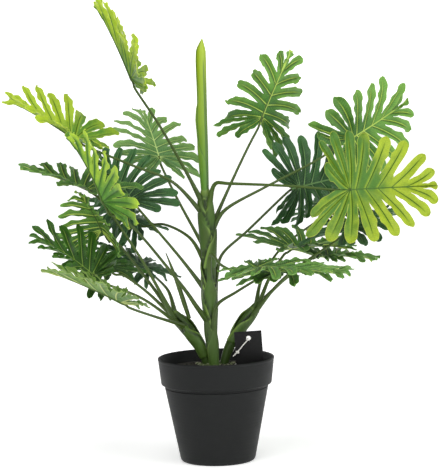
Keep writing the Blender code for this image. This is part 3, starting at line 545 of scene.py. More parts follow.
def fill_material():
    """Dark peaty mix: dull, crumbly, near black with brown crumbs."""
    made, tree, place = new_material("dark_potting_mix")
    # crumbs of about 3 mm
    crumbs = add_node(tree, "TexVoronoi", {"Vector": place, "Scale": 330.0}, out="Color")
    dust = add_node(tree, "TexNoise", {"Vector": place, "Scale": 900.0, "Detail": 3.0})
    shade = add_node(tree, "MapRange", (crumbs, 0.2, 1.0, 0.0, 0.7))
    peat = (*bpy.context.scene.plant_pot.fill, 1)
    skin = add_node(tree, "Mix", {0: shade, 6: peat, 7: (*linear("#3A3226"), 1)}, **BLEND)
    relief = add_node(tree, "Bump", {"Height": dust, "Distance": 0.5 * MM, "Strength": 0.8})
    return finish_material(made, {"Base Color": skin, "Normal": relief, "Roughness": 0.95})


def moss_material():
    """Dyed moss crumbs: dull green with pale dry bits."""
    made, tree, place = new_material("dyed_moss")
    tufts = add_node(tree, "TexNoise", {"Vector": place, "Scale": 220.0, "Detail": 2.0})
    pale = add_node(tree, "MapRange", (tufts, 0.45, 0.62))
    moss = (*bpy.context.scene.plant_pot.moss, 1)
    skin = add_node(tree, "Mix", {0: pale, 6: moss, 7: (*linear("#8E9178"), 1)}, **BLEND)
    return finish_material(made, {"Base Color": skin, "Roughness": 0.9})


def plain_material(name, colour, roughness, scale, depth, tones=(0.88, 1.08), strength=0.5, sheen=None):
    """A dull fibrous finish in one colour, with relief of that many bumps to a metre."""
    made, tree, place = new_material(name)
    fibre = add_node(tree, "TexNoise", {"Vector": place, "Scale": scale, "Detail": 3.0})
    shade = add_node(tree, "MapRange", {"Value": fibre, "To Min": tones[0], "To Max": tones[1]})
    skin = add_node(tree, "HueSaturation", {"Color": (*colour, 1), "Value": shade})
    relief = add_node(tree, "Bump", {"Height": fibre, "Distance": depth, "Strength": strength})
    if sheen is not None:
        finish_material(made, {"Specular IOR Level": sheen})
    return finish_material(made, {"Base Color": skin, "Normal": relief, "Roughness": roughness})


def catmull(points, steps):
    """Places on a smooth curve through the points, with steps places to each stretch."""
    ends = [points[0] * 2 - points[1]] + list(points) + [points[-1] * 2 - points[-2]]
    places = []
    for before, start, end, after in zip(ends, ends[1:], ends[2:], ends[3:]):
        for step in range(steps):
            t = step / steps
            places.append(0.5 * (2 * start + (end - before) * t
                                 + (2 * before - 5 * start + 4 * end - after) * t * t
                                 + (3 * start - before - 3 * end + after) * t * t * t))
    return places + [points[-1].copy()]


def between(table, at):
    """A value read from a table of (place, value) pairs, in straight lines."""
    for (low, start), (high, end) in zip(table, table[1:]):
        if at <= high:
            share = (at - low) / (high - low) if high > low else 0.0
            return start + (end - start) * max(share, 0.0)
    return table[-1][1]


def smooth(low, high, at):
    """0 below low, 1 above high and an even S between."""
    share = min(max((at - low) / (high - low), 0.0), 1.0)
    return share * share * (3 - 2 * share)


def select_only(piece):
    """Leaves one object selected and active."""
    bpy.ops.object.select_all(action="DESELECT")
    piece.select_set(True)
    bpy.context.view_layer.objects.active = piece


def edit_all():
    """Opens the active object's mesh with all of it selected."""
    bpy.ops.object.mode_set(mode="EDIT")
    bpy.ops.mesh.select_all(action="SELECT")


def at_origin(piece):
    """Puts the object's place, turn and size into its mesh."""
    select_only(piece)
    bpy.ops.object.transform_apply(location=True, rotation=True, scale=True)


def finish_piece(piece, node, slot, smooth_angle, *materials):
    """Shades and dresses one finished piece, hangs it on the root body and hides the part that it replaces.
    """
    at_origin(piece)
    bpy.ops.object.shade_smooth_by_angle(angle=radians(smooth_angle))
    for made in materials:
        piece.data.materials.append(made)
    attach(piece, "root")
    if node:
        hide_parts(node)


def mesh_piece(name, bm):
    """A mesh built in code as an object, with its faces turned outwards."""
    mesh = bpy.data.meshes.new(name)
    bmesh.ops.recalc_face_normals(bm, faces=bm.faces)
    bm.to_mesh(mesh)
    bm.free()
    piece = bpy.data.objects.new(name, mesh)
    bpy.context.scene.collection.objects.link(piece)
    return piece


def turn_up(name, outline, sides):
    """A closed turned solid: a disc extruded ring by ring along an outline of (radius, height) in mm."""
    radius, height = outline[0]
    bpy.ops.object.select_all(action="DESELECT")
    bpy.ops.mesh.primitive_circle_add(vertices=sides, radius=radius * MM, fill_type="NGON",
                                      location=(0, 0, height * MM))
    piece = bpy.context.object
    piece.name = name
    edit_all()
    for (was, low), (now, high) in zip(outline, outline[1:]):
        bpy.ops.mesh.extrude_region_move(TRANSFORM_OT_translate={"value": (0, 0, (high - low) * MM)})
        if abs(now - was) > 1e-6:
            bpy.ops.transform.resize(value=(now / was, now / was, 1), center_override=(0, 0, high * MM))
    bpy.ops.mesh.select_all(action="SELECT")
    bpy.ops.mesh.normals_make_consistent(inside=False)
    bpy.ops.object.mode_set(mode="OBJECT")
    return piece


def corners(radius, height, steps):
    """Corners of an outline, each given as a step from one place."""
    return [(radius + out, height + up) for out, up in steps]


def pot_outline(ring_step):
    """The pot's outline from its underside, up the ringed wall and the band, to the floor inside."""
    band_foot = POT_HEIGHT - POT_BAND_HEIGHT
    body_top = POT_BAND_RADIUS - POT_LEDGE
    outline = corners(POT_FOOT_RADIUS, 0, POT_FOOT)
    foot = POT_FOOT_RADIUS + 0.4
    wall = (body_top - foot) / (band_foot - 1.5 - POT_FOOT_ROUND)
    height = POT_FOOT_ROUND + 3
    while height < band_foot - 7:
        outline += corners(foot + wall * (height - POT_FOOT_ROUND), height,
                           [(0, 0), (ring_step / MM * 0.3, 0.4), (0.12, 0.8)])
        height += WALL_RING_GAP
    groove = band_foot - GROOVE_DROP
    outline += corners(foot + wall * (groove - POT_FOOT_ROUND), groove, POT_GROOVE)
    outline += corners(body_top, band_foot, [(-0.3, -2.2), (0.2, -1.2)])
    outline += corners(POT_BAND_RADIUS, band_foot, POT_LEDGE_TOP)
    slope = (POT_RIM_RADIUS - 0.3 - POT_BAND_RADIUS) / (POT_BAND_HEIGHT - 1.8)
    height = band_foot + 3
    while height < POT_HEIGHT - 6:
        outline += corners(POT_BAND_RADIUS + slope * (height - band_foot - 0.8), height,
                           [(0, 0), (ring_step / MM * 0.2, 0.5), (0.1, 1)])
        height += BAND_RING_GAP
    outline += corners(POT_RIM_RADIUS, POT_HEIGHT, POT_LIP)
    return outline + [(POT_BAND_RADIUS - POT_WALL, band_foot + 2), (body_top - POT_WALL, band_foot - 4),
                      (POT_FOOT_RADIUS - 2, POT_FLOOR)]


class PLANT_OT_pot(bpy.types.Operator):
    """Models the nursery pot: a disc extruded up the wall, over the lip and down to the floor inside"""

    bl_idname = "plant.pot"
    bl_label = "Pot"

    def execute(self, context):
        settings = context.scene.plant_pot
        pot = turn_up("pot_shell", pot_outline(settings.ring_step), settings.sides)
        finish_piece(pot, "pot", "black_plastic", 30, pot_material())
        return {"FINISHED"}


def fill_height(x, y):
    """The height of the fill's top in millimetres at a place."""
    share = sqrt(x * x + y * y) / FILL_RADIUS
    mound = FILL_MIDDLE_HEIGHT - (FILL_MIDDLE_HEIGHT - FILL_EDGE_HEIGHT) * min(share, 1.0) ** 2
    return mound - FILL_GAP


class PLANT_OT_fill(bpy.types.Operator):
    """Models the crumbly fill as a turned mound roughened in edit mode, and the mossy bits on it"""

    bl_idname = "plant.fill"
    bl_label = "Fill and moss"

    def execute(self, context):
        settings = context.scene.plant_pot
        band_foot = POT_HEIGHT - POT_BAND_HEIGHT
        inside = POT_BAND_RADIUS - POT_WALL - FILL_GAP
        outline = [(POT_FOOT_RADIUS - 3, POT_FLOOR + 0.5), (inside - POT_LEDGE, band_foot - 4),
                   (inside, band_foot + 2), (FILL_RADIUS - FILL_GAP, FILL_EDGE_HEIGHT - 1.4)]
        radius = FILL_RADIUS - 1.6
        while radius > 1.2:
            outline.append((radius, fill_height(radius, 0)))
            radius -= FILL_RING_GAP
        fill = turn_up("fill_mound", outline, FILL_SIDES)
        select_only(fill)
        bpy.ops.object.mode_set(mode="EDIT")
        bpy.ops.mesh.select_all(action="DESELECT")
        # only its top is roughened, inside the ring that meets the pot
        top = (FILL_EDGE_HEIGHT - 1) * MM
        sheet = bmesh.from_edit_mesh(fill.data)
        for vertex in sheet.verts:
            vertex.select = vertex.co.z > top and vertex.co.xy.length < (FILL_RADIUS - 1) * MM
        sheet.select_flush(True)
        bmesh.update_edit_mesh(fill.data)
        bpy.ops.transform.vertex_random(offset=settings.crumb, uniform=0.35, normal=0.8, seed=4)
        bpy.ops.object.mode_set(mode="OBJECT")
        finish_piece(fill, "fill", "fill_mix", 60, fill_material())
        self.moss(context)
        return {"FINISHED"}

    def moss(self, context):
        """Small tufts round the stem bases: one crumb modelled, copied with its own mesh and joined."""
        bpy.ops.object.select_all(action="DESELECT")
        bpy.ops.mesh.primitive_ico_sphere_add(subdivisions=3, radius=MOSS_RADIUS * MM, location=(0, 0, 0))
        crumb = context.object
        edit_all()
        bpy.ops.transform.vertex_random(offset=0.9 * MM, uniform=0.2, normal=0.6, seed=9)
        bpy.ops.transform.resize(value=(1, 1, 0.6), center_override=(0, 0, 0))
        bpy.ops.object.mode_set(mode="OBJECT")
        draw = Random(21)
        tufts = []
        for line, _ in STEMS.values():
            for _ in range(MOSS_COUNT):
                angle = draw.uniform(0, 2 * pi)
                away = MOSS_START + MOSS_SPREAD * draw.random() ** 1.5
                x = line[1][0] + away * cos(angle)
                y = line[1][1] + away * sin(angle)
                tuft = crumb.copy()
                tuft.data = crumb.data.copy()
                size = draw.uniform(0.5, 1.25)
                tuft.matrix_world = (Matrix.Translation(Vector((x, y, fill_height(x, y) + 0.8)) * MM)
                                     @ Matrix.Rotation(draw.uniform(0, 6), 4, "Z") @ Matrix.Scale(size, 4))
                context.scene.collection.objects.link(tuft)
                tufts.append(tuft)
        bpy.data.objects.remove(crumb)
        select_only(tufts[0])
        for tuft in tufts:
            tuft.select_set(True)
        bpy.ops.object.join()
        moss = context.object
        moss.name = "fill_moss"
        finish_piece(moss, None, "fill_mix", 80, moss_material())


def stem_places(stem, steps=12):
    """Fine places along a stem and its radius at each, in millimetres, from the foot up."""
    line, radii = STEMS[stem]
    places = [Vector(line[0])] + catmull([Vector(point) for point in line[1:]], steps)
    widths = [radii[0]]
    for start, end in zip(radii[1:], radii[2:]):
        widths += [start + (end - start) * step / steps for step in range(steps)]
    widths.append(radii[-1])
    return places, widths


def stem_at(stem, height):
    """The middle line's place and the radius of a stem at a height, in millimetres."""
    places, widths = stem_places(stem)
    for low, high, start, end in zip(places, places[1:], widths, widths[1:]):
        if height <= high.z:
            share = (height - low.z) / (high.z - low.z)
            return low.lerp(high, share), start + (end - start) * share, (high - low).normalized()
    return places[-1], widths[-1], (places[-1] - places[-2]).normalized()


def directions(places):
    """The direction of a line at each of its places."""
    ahead = [(b - a).normalized() for a, b in zip(places, places[1:])]
    return [ahead[0]] + [(a + b).normalized() for a, b in zip(ahead, ahead[1:])] + [ahead[-1]]


def square_to(way, tangent):
    """The part of a direction that is square to a line, and the direction square to both."""
    outward = (way - tangent * way.dot(tangent)).normalized()
    return outward, tangent.cross(outward)


def close_tube(bm, rings, closed=False):
    """Joins rings of vertices into a tube, whose ends are faces unless it is closed on itself."""
    sides = len(rings[0])
    for low, high in list(zip(rings, rings[1:])) + ([(rings[-1], rings[0])] if closed else []):
        for side in range(sides):
            turn = (side + 1) % sides
            bm.faces.new((low[side], low[turn], high[turn], high[side]))
    if not closed:
        bm.faces.new(list(reversed(rings[0])))
        bm.faces.new(rings[-1])


def ring_tube(bm, rings):
    """A tube through rings of places in millimetres, each place with how pale it is, how much painted shade
    darkens it and how aged it is.
    """
    layers = [bm.verts.layers.float.get(key) or bm.verts.layers.float.new(key) for key in TUBE_FACTS]
    made = []
    for ring in rings:
        row = []
        for place, shades in ring:
            vertex = bm.verts.new(place * MM)
            for layer, shade in zip(layers, shades):
                vertex[layer] = shade
            row.append(vertex)
        made.append(row)
    close_tube(bm, made)


def blade_frame(leaf):
    """The midrib's direction, the face's and the left side's, and the midrib's length in metres."""
    start = Vector(leaf["junction"]) * MM
    along = Vector(leaf["tip"]) * MM - start
    length = along.length
    along.normalize()
    face = (Vector((0, 0, 1)) - along * along.z).normalized()
    face = Matrix.Rotation(radians(leaf["roll"]), 3, along) @ face
    return start, along, face, face.cross(along), length


def blade_point(leaf, facts, u, v, lift=0.0):
    """A place on the blade and its normal: u along the midrib, v across it, as shares of its length."""
    start, along, face, side, length = facts
    bend = radians(leaf["arch"]) + 1e-6
    first = bend * 0.5
    here = bend * (0.5 - max(u, 0.0))
    reach = (sin(first) - sin(here)) / bend
    rise = (cos(here) - cos(first)) / bend
    chord = (sin(first) - sin(-first)) / bend
    up = face * cos(here) - along * sin(here)
    place = start + (along * reach + face * rise) * (length / chord)
    back = first - radians(leaf["base_rise"])
    place += (along * cos(back) + face * sin(back)) * min(u, 0.0) * leaf["base"] * length
    fold = radians(leaf["left"] if v > 0 else leaf["right"])
    curl = radians(leaf["curl"]) / BLADE_HALF_WIDTH
    # the blade's cross section is followed outwards from the midrib in short straight steps
    step = abs(v) / CURL_STEPS
    out = sum(cos(fold - curl * step * (part + 0.5)) * step for part in range(CURL_STEPS))
    high = sum(sin(fold - curl * step * (part + 0.5)) * step for part in range(CURL_STEPS))
    final = fold - curl * abs(v)
    sign = 1 if v > 0 else -1
    normal = up * cos(final) - side * sign * sin(final)
    place += (side * sign * out + up * high) * length
    return place + normal * lift * length, normal


def stalk_end(leaf):
    """The place where a leaf's stalk meets its blade, and the way it points there."""
    _, along, face, _, _ = blade_frame(leaf)
    dip = radians(leaf["arch"] / 2 + (STALK_DIP if leaf["base_rise"] > 0 else -STALK_DIP))
    junction = Vector(leaf["junction"])
    coming = (junction - Vector(leaf["route"][-1])).normalized()
    ahead = (along * cos(dip) + face * sin(dip) + coming).normalized()
    return junction - ahead * STUB_LENGTH, ahead


def sheath_reach(clasp, share):
    """How far round its stem a sheath reaches to either side, in radians."""
    return clasp * pi * (SHEATH_WRAP[0] - SHEATH_WRAP[1] * share)


def sheath_lift(share):
    """How far a sheath stands off its stem in millimetres: its foot is sunk in it, its top is free of it."""
    return -0.6 + 1.9 * smooth(0.0, 0.05, share) + 3.2 * share ** 1.3


def stem_sheaths(stem):
    """Where each sheath of a stem ends, the way that it faces and its length."""
    found = []
    for leaf in LEAVES.values():
        if leaf["stem"] == stem:
            out = Vector(leaf["route"][0]) - stem_at(stem, leaf["leaves_at"])[0]
            found.append((leaf["leaves_at"], atan2(out.y, out.x), SHEATH_LENGTHS[stem]))
    return found


def crease_shading(sheaths, clasp, height, angle, lift):
    """How much painted shade a place on a stem gets from lying in a crease: beside a higher sheath's edge, or
    where a stalk parts.
    """
    deepest = 0.0
    for top, out, length in sheaths:
        share = 1 - (top - height) / length
        turned = abs((angle - out + pi) % (2 * pi) - pi)
        # beside the edge of a sheath that stands higher, fading faster under it than outside it
        if 0 < share < 1 and sheath_lift(share) > lift + 0.25:
            away = turned - sheath_reach(clasp, share)
            depth = exp(-(away / (0.30 if away > 0 else 0.08)) ** 2) * smooth(0.0, 0.15, share)
            deepest = max(deepest, depth)
        # in the notch above a sheath, where its stalk parts from the stem
        elif 1 <= share < 1.4:
            depth = exp(-((height - top - 1) / 6) ** 2) * (1 - smooth(0.5, 1.2, turned))
            deepest = max(deepest, depth)
    return deepest


def add_stalk(bm, leaf, sides, clasp, stout):
    """A leaf stalk: a crescent that clasps its stem, closing to a round stalk that bends to its blade."""
    height = leaf["leaves_at"]
    middle, radius, _ = stem_at(leaf["stem"], height)
    out = Vector(leaf["route"][0]) - middle
    out.z = 0
    out.normalize()
    rings = []
    length = SHEATH_LENGTHS[leaf["stem"]]
    sheaths = stem_sheaths(leaf["stem"])
    # painted shade that differs from stalk to stalk: it darkens the sheath towards its top and the stalk near
    # the stem
    aged = 0.5 * (0.5 + 0.5 * sin(height * 1.7))
    angles = [2 * pi * side / (sides * 2) for side in range(sides * 2)]
    for step in range(SHEATH_STEPS):
        share = step / SHEATH_STEPS
        place, width, tangent = stem_at(leaf["stem"], height - length * (1 - share))
        outward, across = square_to(out, tangent)
        # the sheath starts all round the stem, stands out more and closes towards the stalk as it climbs
        wrap = sheath_reach(clasp, share)
        off = sheath_lift(share)
        thick = 1.0 + 2.4 * share
        round_share = smooth(0.55, 1.0, share)
        stalk_radius = SHEATH_RADIUS + (SHEATH_TOP_RADIUS - SHEATH_RADIUS) * share
        centre = place + outward * (width - 0.6 + 0.8 * share)
        foot = 1 - smooth(0.0, 0.05, share)
        ring = []
        for angle in angles:
            part = sin(angle)
            turn = wrap * part
            edge = abs(part)
            inner = 0.0 if cos(angle) > -1e-9 else -thick
            level = width + off * (1 - 0.4 * edge ** 4) + inner * (1 - edge ** 6)
            way = outward * cos(turn) + across * sin(turn)
            hug = place + way * level
            plain = centre + (outward * cos(angle) + across * part) * stalk_radius
            # painted shade: a dark line at the sheath's edges, shade in the creases beside higher sheaths,
            # the stalk's own share, and the sheath's foot where it sinks into the stem; a paler band lies
            # just inside each edge
            rim = smooth(0.93, 0.98, edge) * (1 - round_share)
            light = smooth(0.72, 0.86, edge) * (1 - round_share) * 0.6
            crease_shade = crease_shading(sheaths, clasp, place.z, atan2(way.y, way.x), off) * (1 - 0.5 * round_share)
            dark = max(rim, 0.95 * crease_shade, aged * (0.3 + 0.7 * share), 0.8 * foot)
            ring.append((hug.lerp(plain, round_share), (light * (1 - rim), dark, 0.3 * share)))
        rings.append(ring)
    end, ahead = stalk_end(leaf)
    points = [stem_at(leaf["stem"], height - length / SHEATH_STEPS)[0] + out * (radius + 0.1),
              middle + out * (radius + 0.4)]
    points += [Vector(point) for point in leaf["route"]]
    points += [end - ahead * STALK_APPROACH, end, Vector(leaf["junction"]) + ahead * 1.0]
    places = catmull(points, STALK_STEPS)[STALK_STEPS // 2:]
    run = 0.0
    outward = out
    for index, (place, tangent) in enumerate(zip(places, directions(places))):
        outward, across = square_to(outward, tangent)
        share = index / (len(places) - 1)
        run += (place - places[index - 1]).length if index else 0.0
        size = STALK_TIP_RADIUS + 0.4 * (1 - share) + 2.2 * exp(-run / (28 * stout))
        size += 0.5 * smooth(0.95, 1.0, share)
        shade = aged * exp(-run / 30)
        ring = []
        for angle in angles:
            # a shallow groove runs along the upper side of the stalk, and that side is painted darker as
            # shade
            upper = max(0.0, -cos(angle))
            spot = place + (outward * cos(angle) + across * sin(angle)) * size * (
                1 - 0.16 * upper ** 6 * (1 - share * 0.5))
            ring.append((spot, (0.0, max(shade, 0.35 * upper), smooth(-30, 45, run))))
        rings.append(ring)
    ring_tube(bm, rings)


def add_trunk(bm, stem, clasp):
    """A stem: a round tube with ring scars, and a fine wave in its outline."""
    places, _ = stem_places(stem)
    height = places[0].z
    top = places[-1].z
    heights = []
    # rings every 3 mm inside the pot and every 1 mm above it
    while height < top - 0.2:
        heights.append(height)
        height += 3.0 if height < 118 else 1.0
    heights.append(top)
    scars = SCARS if stem == "centre_stem" else [(low - 130, size) for low, size in SCARS if low > 280]
    sheaths = stem_sheaths(stem)
    rings = []
    for height in heights:
        place, width, tangent = stem_at(stem, height)
        outward, across = square_to(Vector((1, 0, 0)), tangent)
        end = 0.85 + 0.15 * smooth(0, 4, top - height)
        if stem != "centre_stem":
            end *= 1 - 0.4 * smooth(150, top, height)
        ring = []
        for side in range(TRUNK_SIDES):
            angle = 2 * pi * side / TRUNK_SIDES
            # each scar climbs and falls a little as it goes round
            ridge = max(size * exp(-((height - (low + 1.6 * sin(angle + low))) / 1.1) ** 2)
                        for low, size in scars)
            flutes = 0.22 * sin(5 * angle + height * 0.02) * smooth(120, 150, height)
            way = outward * cos(angle) + across * sin(angle)
            # painted shade: the whole trunk is painted 45% of the way to the shadow colour, and further in
            # the creases beside the sheaths' edges and in the notches above them
            crease_shade = crease_shading(sheaths, clasp, height, atan2(way.y, way.x), 0.0)
            pale = min(1.0, ridge * 1.3 + 0.7 * smooth(336, 348, height))
            ring.append((place + way * (width + ridge + flutes) * end, (pale, max(0.45, crease_shade), 0.2)))
        rings.append(ring)
    ring_tube(bm, rings)


def add_bract(bm):
    """The slim pointed bract: a flat leaf-like scale, folded along its middle."""
    places = catmull([Vector(point) for point in BRACT_LINE], STALK_STEPS)
    rings = []
    for index, (place, tangent) in enumerate(zip(places, directions(places))):
        share = index / (len(places) - 1) * (len(BRACT_WIDTHS) - 1)
        width = BRACT_SHARE * between(list(enumerate(BRACT_WIDTHS)), share)
        thick = between(list(enumerate(BRACT_THICKNESSES)), share)
        outward, across = square_to(Vector((0, -1, 0)), tangent)
        ring = []
        for side in range(BRACT_SIDES):
            angle = 2 * pi * side / BRACT_SIDES
            edge = abs(sin(angle))
            fold = width * 0.35 * edge ** 1.5
            spot = place + across * sin(angle) * width + outward * (cos(angle) * thick * 0.7 - fold)
            # painted shade: one side of the bract is painted up to half way to the shadow colour; its edges
            # are paler
            ring.append((spot, (0.4 * smooth(0.93, 1.0, edge), 0.5 * smooth(-0.2, 0.9, sin(angle)), 0.9)))
        rings.append(ring)
    ring_tube(bm, rings)


class PLANT_OT_stems(bpy.types.Operator):
    """Models the three stems with their clasping leaf stalks, ring scars and the bract"""

    bl_idname = "plant.stems"
    bl_label = "Stems and stalks"

    def execute(self, context):
        settings = context.scene.plant_stems
        young = stem_material("moulded_young_stem")
        for stem in STEMS:
            bm = bmesh.new()
            add_trunk(bm, stem, settings.clasp)
            for name, leaf in LEAVES.items():
                if leaf["stem"] == stem:
                    add_stalk(bm, leaf, settings.sides, settings.clasp, STOUT_STALKS.get(name, 1.0))
            if stem == "left_stem":
                add_bract(bm)
            piece = mesh_piece(stem + "_fine", bm)
            finish_piece(piece, stem, "stem_plastic", 50, young)
        return {"FINISHED"}


class PLANT_OT_spear(bpy.types.Operator):
    """Models the rolled new leaf, with its lap and the slanting edge of its wrap"""

    bl_idname = "plant.spear"
    bl_label = "Rolled new leaf"

    def execute(self, context):
        places = catmull([Vector(point) for point in SPEAR_LINE], 14)
        places = [Vector(SPEAR_FOOT).lerp(places[0], step / 6) for step in range(6)] + places
        rings = []
        for place, tangent in zip(places, directions(places)):
            outward, across = square_to(Vector((1, 0, 0)), tangent)
            width = between(SPEAR_RADII, place.z)
            lap = between(SPEAR_LAPS, place.z) if place.z > 350 else 0.0
            taper = smooth(541, 520, place.z) if place.z > 520 else 1.0
            # the wrap's edge starts on the left and slants across the front near the foot
            seam = pi + 1.9 * smooth(415, 372, place.z) if place.z < 415 else pi
            ring = []
            for side in range(SPEAR_SIDES):
                angle = 2 * pi * side / SPEAR_SIDES
                bulge = lap * max(0.0, cos(angle - pi)) ** 4
                behind = (angle - seam - 0.35) % (2 * pi)
                # the surface steps in just past the wrap's edge, and grows out again round the quill
                step_in = 0.9 * (behind / (2 * pi)) - 0.9
                spot = place + (outward * cos(angle) + across * sin(angle)) * max(
                    width + bulge + step_in * 0.8 * taper, 0.3)
                # a second fold down the right of the front is only painted: a line of painted shade, with the
                # part to its right painted darker too
                fold = exp(-((angle - 1.66 * pi) / 0.13) ** 2) * smooth(525, 500, place.z)
                right = 0.7 * smooth(1.66 * pi, 1.72 * pi, angle) * smooth(530, 450, place.z)
                # painted shade: a dark line just past the wrap's edge, the painted fold line and the darker
                # right side
                ring.append((spot, (0.0, max(0.9 * exp(-(behind / 0.2) ** 2), fold, right), 0.0)))
            rings.append(ring)
        bm = bmesh.new()
        ring_tube(bm, rings)
        spear = mesh_piece("spear_leaf_fine", bm)
        finish_piece(spear, "spear_leaf", "lime_leaf", 60, spear_material())
        return {"FINISHED"}


def lobe_axis(lobe, t, bends):
    """A place on a lobe's own vein, as (u, v) shares; the apex lobe lies on the midrib."""
    if lobe >= len(LOBES):
        return Vector((APEX_ROOT + (1.02 - APEX_ROOT) * t, 0.0))
    root, tip = Vector(LOBES[lobe][0]), Vector(LOBES[lobe][1])
    reach = tip - root
    bow = (0.022 if lobe > 1 else -0.02) * sin(pi * t) + 0.012 * bends[lobe] * sin(pi * t)
    bow += 0.028 * bends[lobe + 10] * t * t
    square = Vector((-reach.y, reach.x)).normalized()
    return root + reach * t * (1 + 0.05 * bends[lobe + 20] * t) - square * bow


def lobe_edges(lobe, t, half_width, cuts, shape, bends):
    """A place on a lobe's vein, and the (u, v) steps from it to the lobe's rear and front margins."""
    axis = lobe_axis(lobe, t, bends)
    ahead = (lobe_axis(lobe, min(t + 0.02, 1.0), bends)
             - lobe_axis(lobe, max(t - 0.02, 0.0), bends)).normalized()
    forward = Vector((ahead.y, -ahead.x))
    taper = sqrt(max(0.0, 1 - ((t - TIP_START) / (1 - TIP_START)) ** 2)) if t > TIP_START else 1.0
    steps = []
    for way, other in ((-1, lobe - 1), (1, lobe + 1)):
        square = forward * way
        if lobe == len(LOBES):
            square = Vector((0, 1))
            other = lobe - 1
        full = half_width * LOBE_SHARES[lobe]
        full *= 1 + 0.09 * sin(9 * t + lobe * 2.1 + way + shape) * smooth(0.3, 0.6, t)
        # some lobes have a small tooth on one margin
        if sin(shape * 7 + lobe * 3 + way) > 0.55:
            full *= 1 + 0.32 * exp(-((t - 0.66) / 0.06) ** 2)
        if other < 0:
            # the notch side of the lobe behind the stalk
            grown = full * sqrt(1 - (1 - min(t / 0.35, 1.0)) ** 2)
            steps.append(square * grown * taper)
            continue
        sinus = cuts[min(lobe, other)]
        half = (lobe_axis(other, t, bends) - axis) / 2
        if t <= sinus + 1e-9:
            steps.append(half)
            continue
        share = min((t - sinus) / SINUS_ROUND, 1.0)
        start = (lobe_axis(other, sinus, bends) - lobe_axis(lobe, sinus, bends)) / 2
        room = max(half.dot(square), 0.004)
        slit = 0.010 * sqrt(1 - (1 - share) ** 2)
        width = min(room - slit * min(1.0, room / 0.03), full)
        width = max(width, 0.006)
        blend = smooth(0, 1, share)
        way_out = (half.normalized() * (1 - blend) + square * blend).normalized()
        reach = (start.length * (1 - share) + width * share) if share < 1 else width
        reach = min(reach, half.length) if share < 0.5 else reach
        steps.append(way_out * reach * taper)
    return axis, *steps


def leaf_cuts(name):
    """How far out each cut of a leaf starts, as shares of its lobes' length that fall on rows."""
    share = CUTS.get(name, USUAL_CUT)
    return [min(ROWS, key=lambda row: abs(row - sinus * share)) for sinus in SINUS_ROWS]


def blade_strips(settings, name, number):
    """The blade's grid strips: for each, rows of (u, v, side, lobe, t, w, distance, edge) in shares."""
    draw = Random(number)
    sweep = SWEEP.get(name, USUAL_SWEEP)
    back = BACK_SHARES.get(name, (1.0, 1.0))
    cuts = leaf_cuts(name)
    half_width = settings.half_width * LOBE_WIDTHS.get(name, USUAL_LOBE_WIDTH)
    strips = []
    for side in (1, -1):
        shapes = [draw.uniform(0, 6) for _ in range(len(LOBES) + 1)]
        bends = [draw.uniform(-1, 1) for _ in range(DRAWS)]
        for lobe in range(len(LOBES) + 1):
            columns = COLUMNS if lobe == len(LOBES) else [-w for w in reversed(COLUMNS[1:])] + COLUMNS
            rows = []
            for t in ROWS:
                axis, rear, front = lobe_edges(lobe, t, half_width, cuts, shapes[lobe], bends)
                row = []
                for w in columns:
                    step = rear if w < 0 else front
                    place = axis + step * abs(w)
                    high = max(place.y, 0.0)
                    along = place.x * (back[0] if side > 0 else back[1]) if place.x < 0 else place.x
                    along = (along + sweep * high) / (1 + 0.17 * sweep)
                    row.append((along, high * side, side, lobe, t, w, step.length * abs(w), step.length))
                rows.append(row)
            strips.append(rows)
    return strips


def lobe_wave(leaf, side, lobe):
    """How far a waved lobe's tip stands off the sheet, as a share of the midrib's length."""
    if lobe < 0 or lobe >= len(LOBES):
        return 0.0
    return leaf["wave"] / 100 * sin(WAVE_TURN * lobe + 1.3 * side + leaf["roll"] * 0.1)


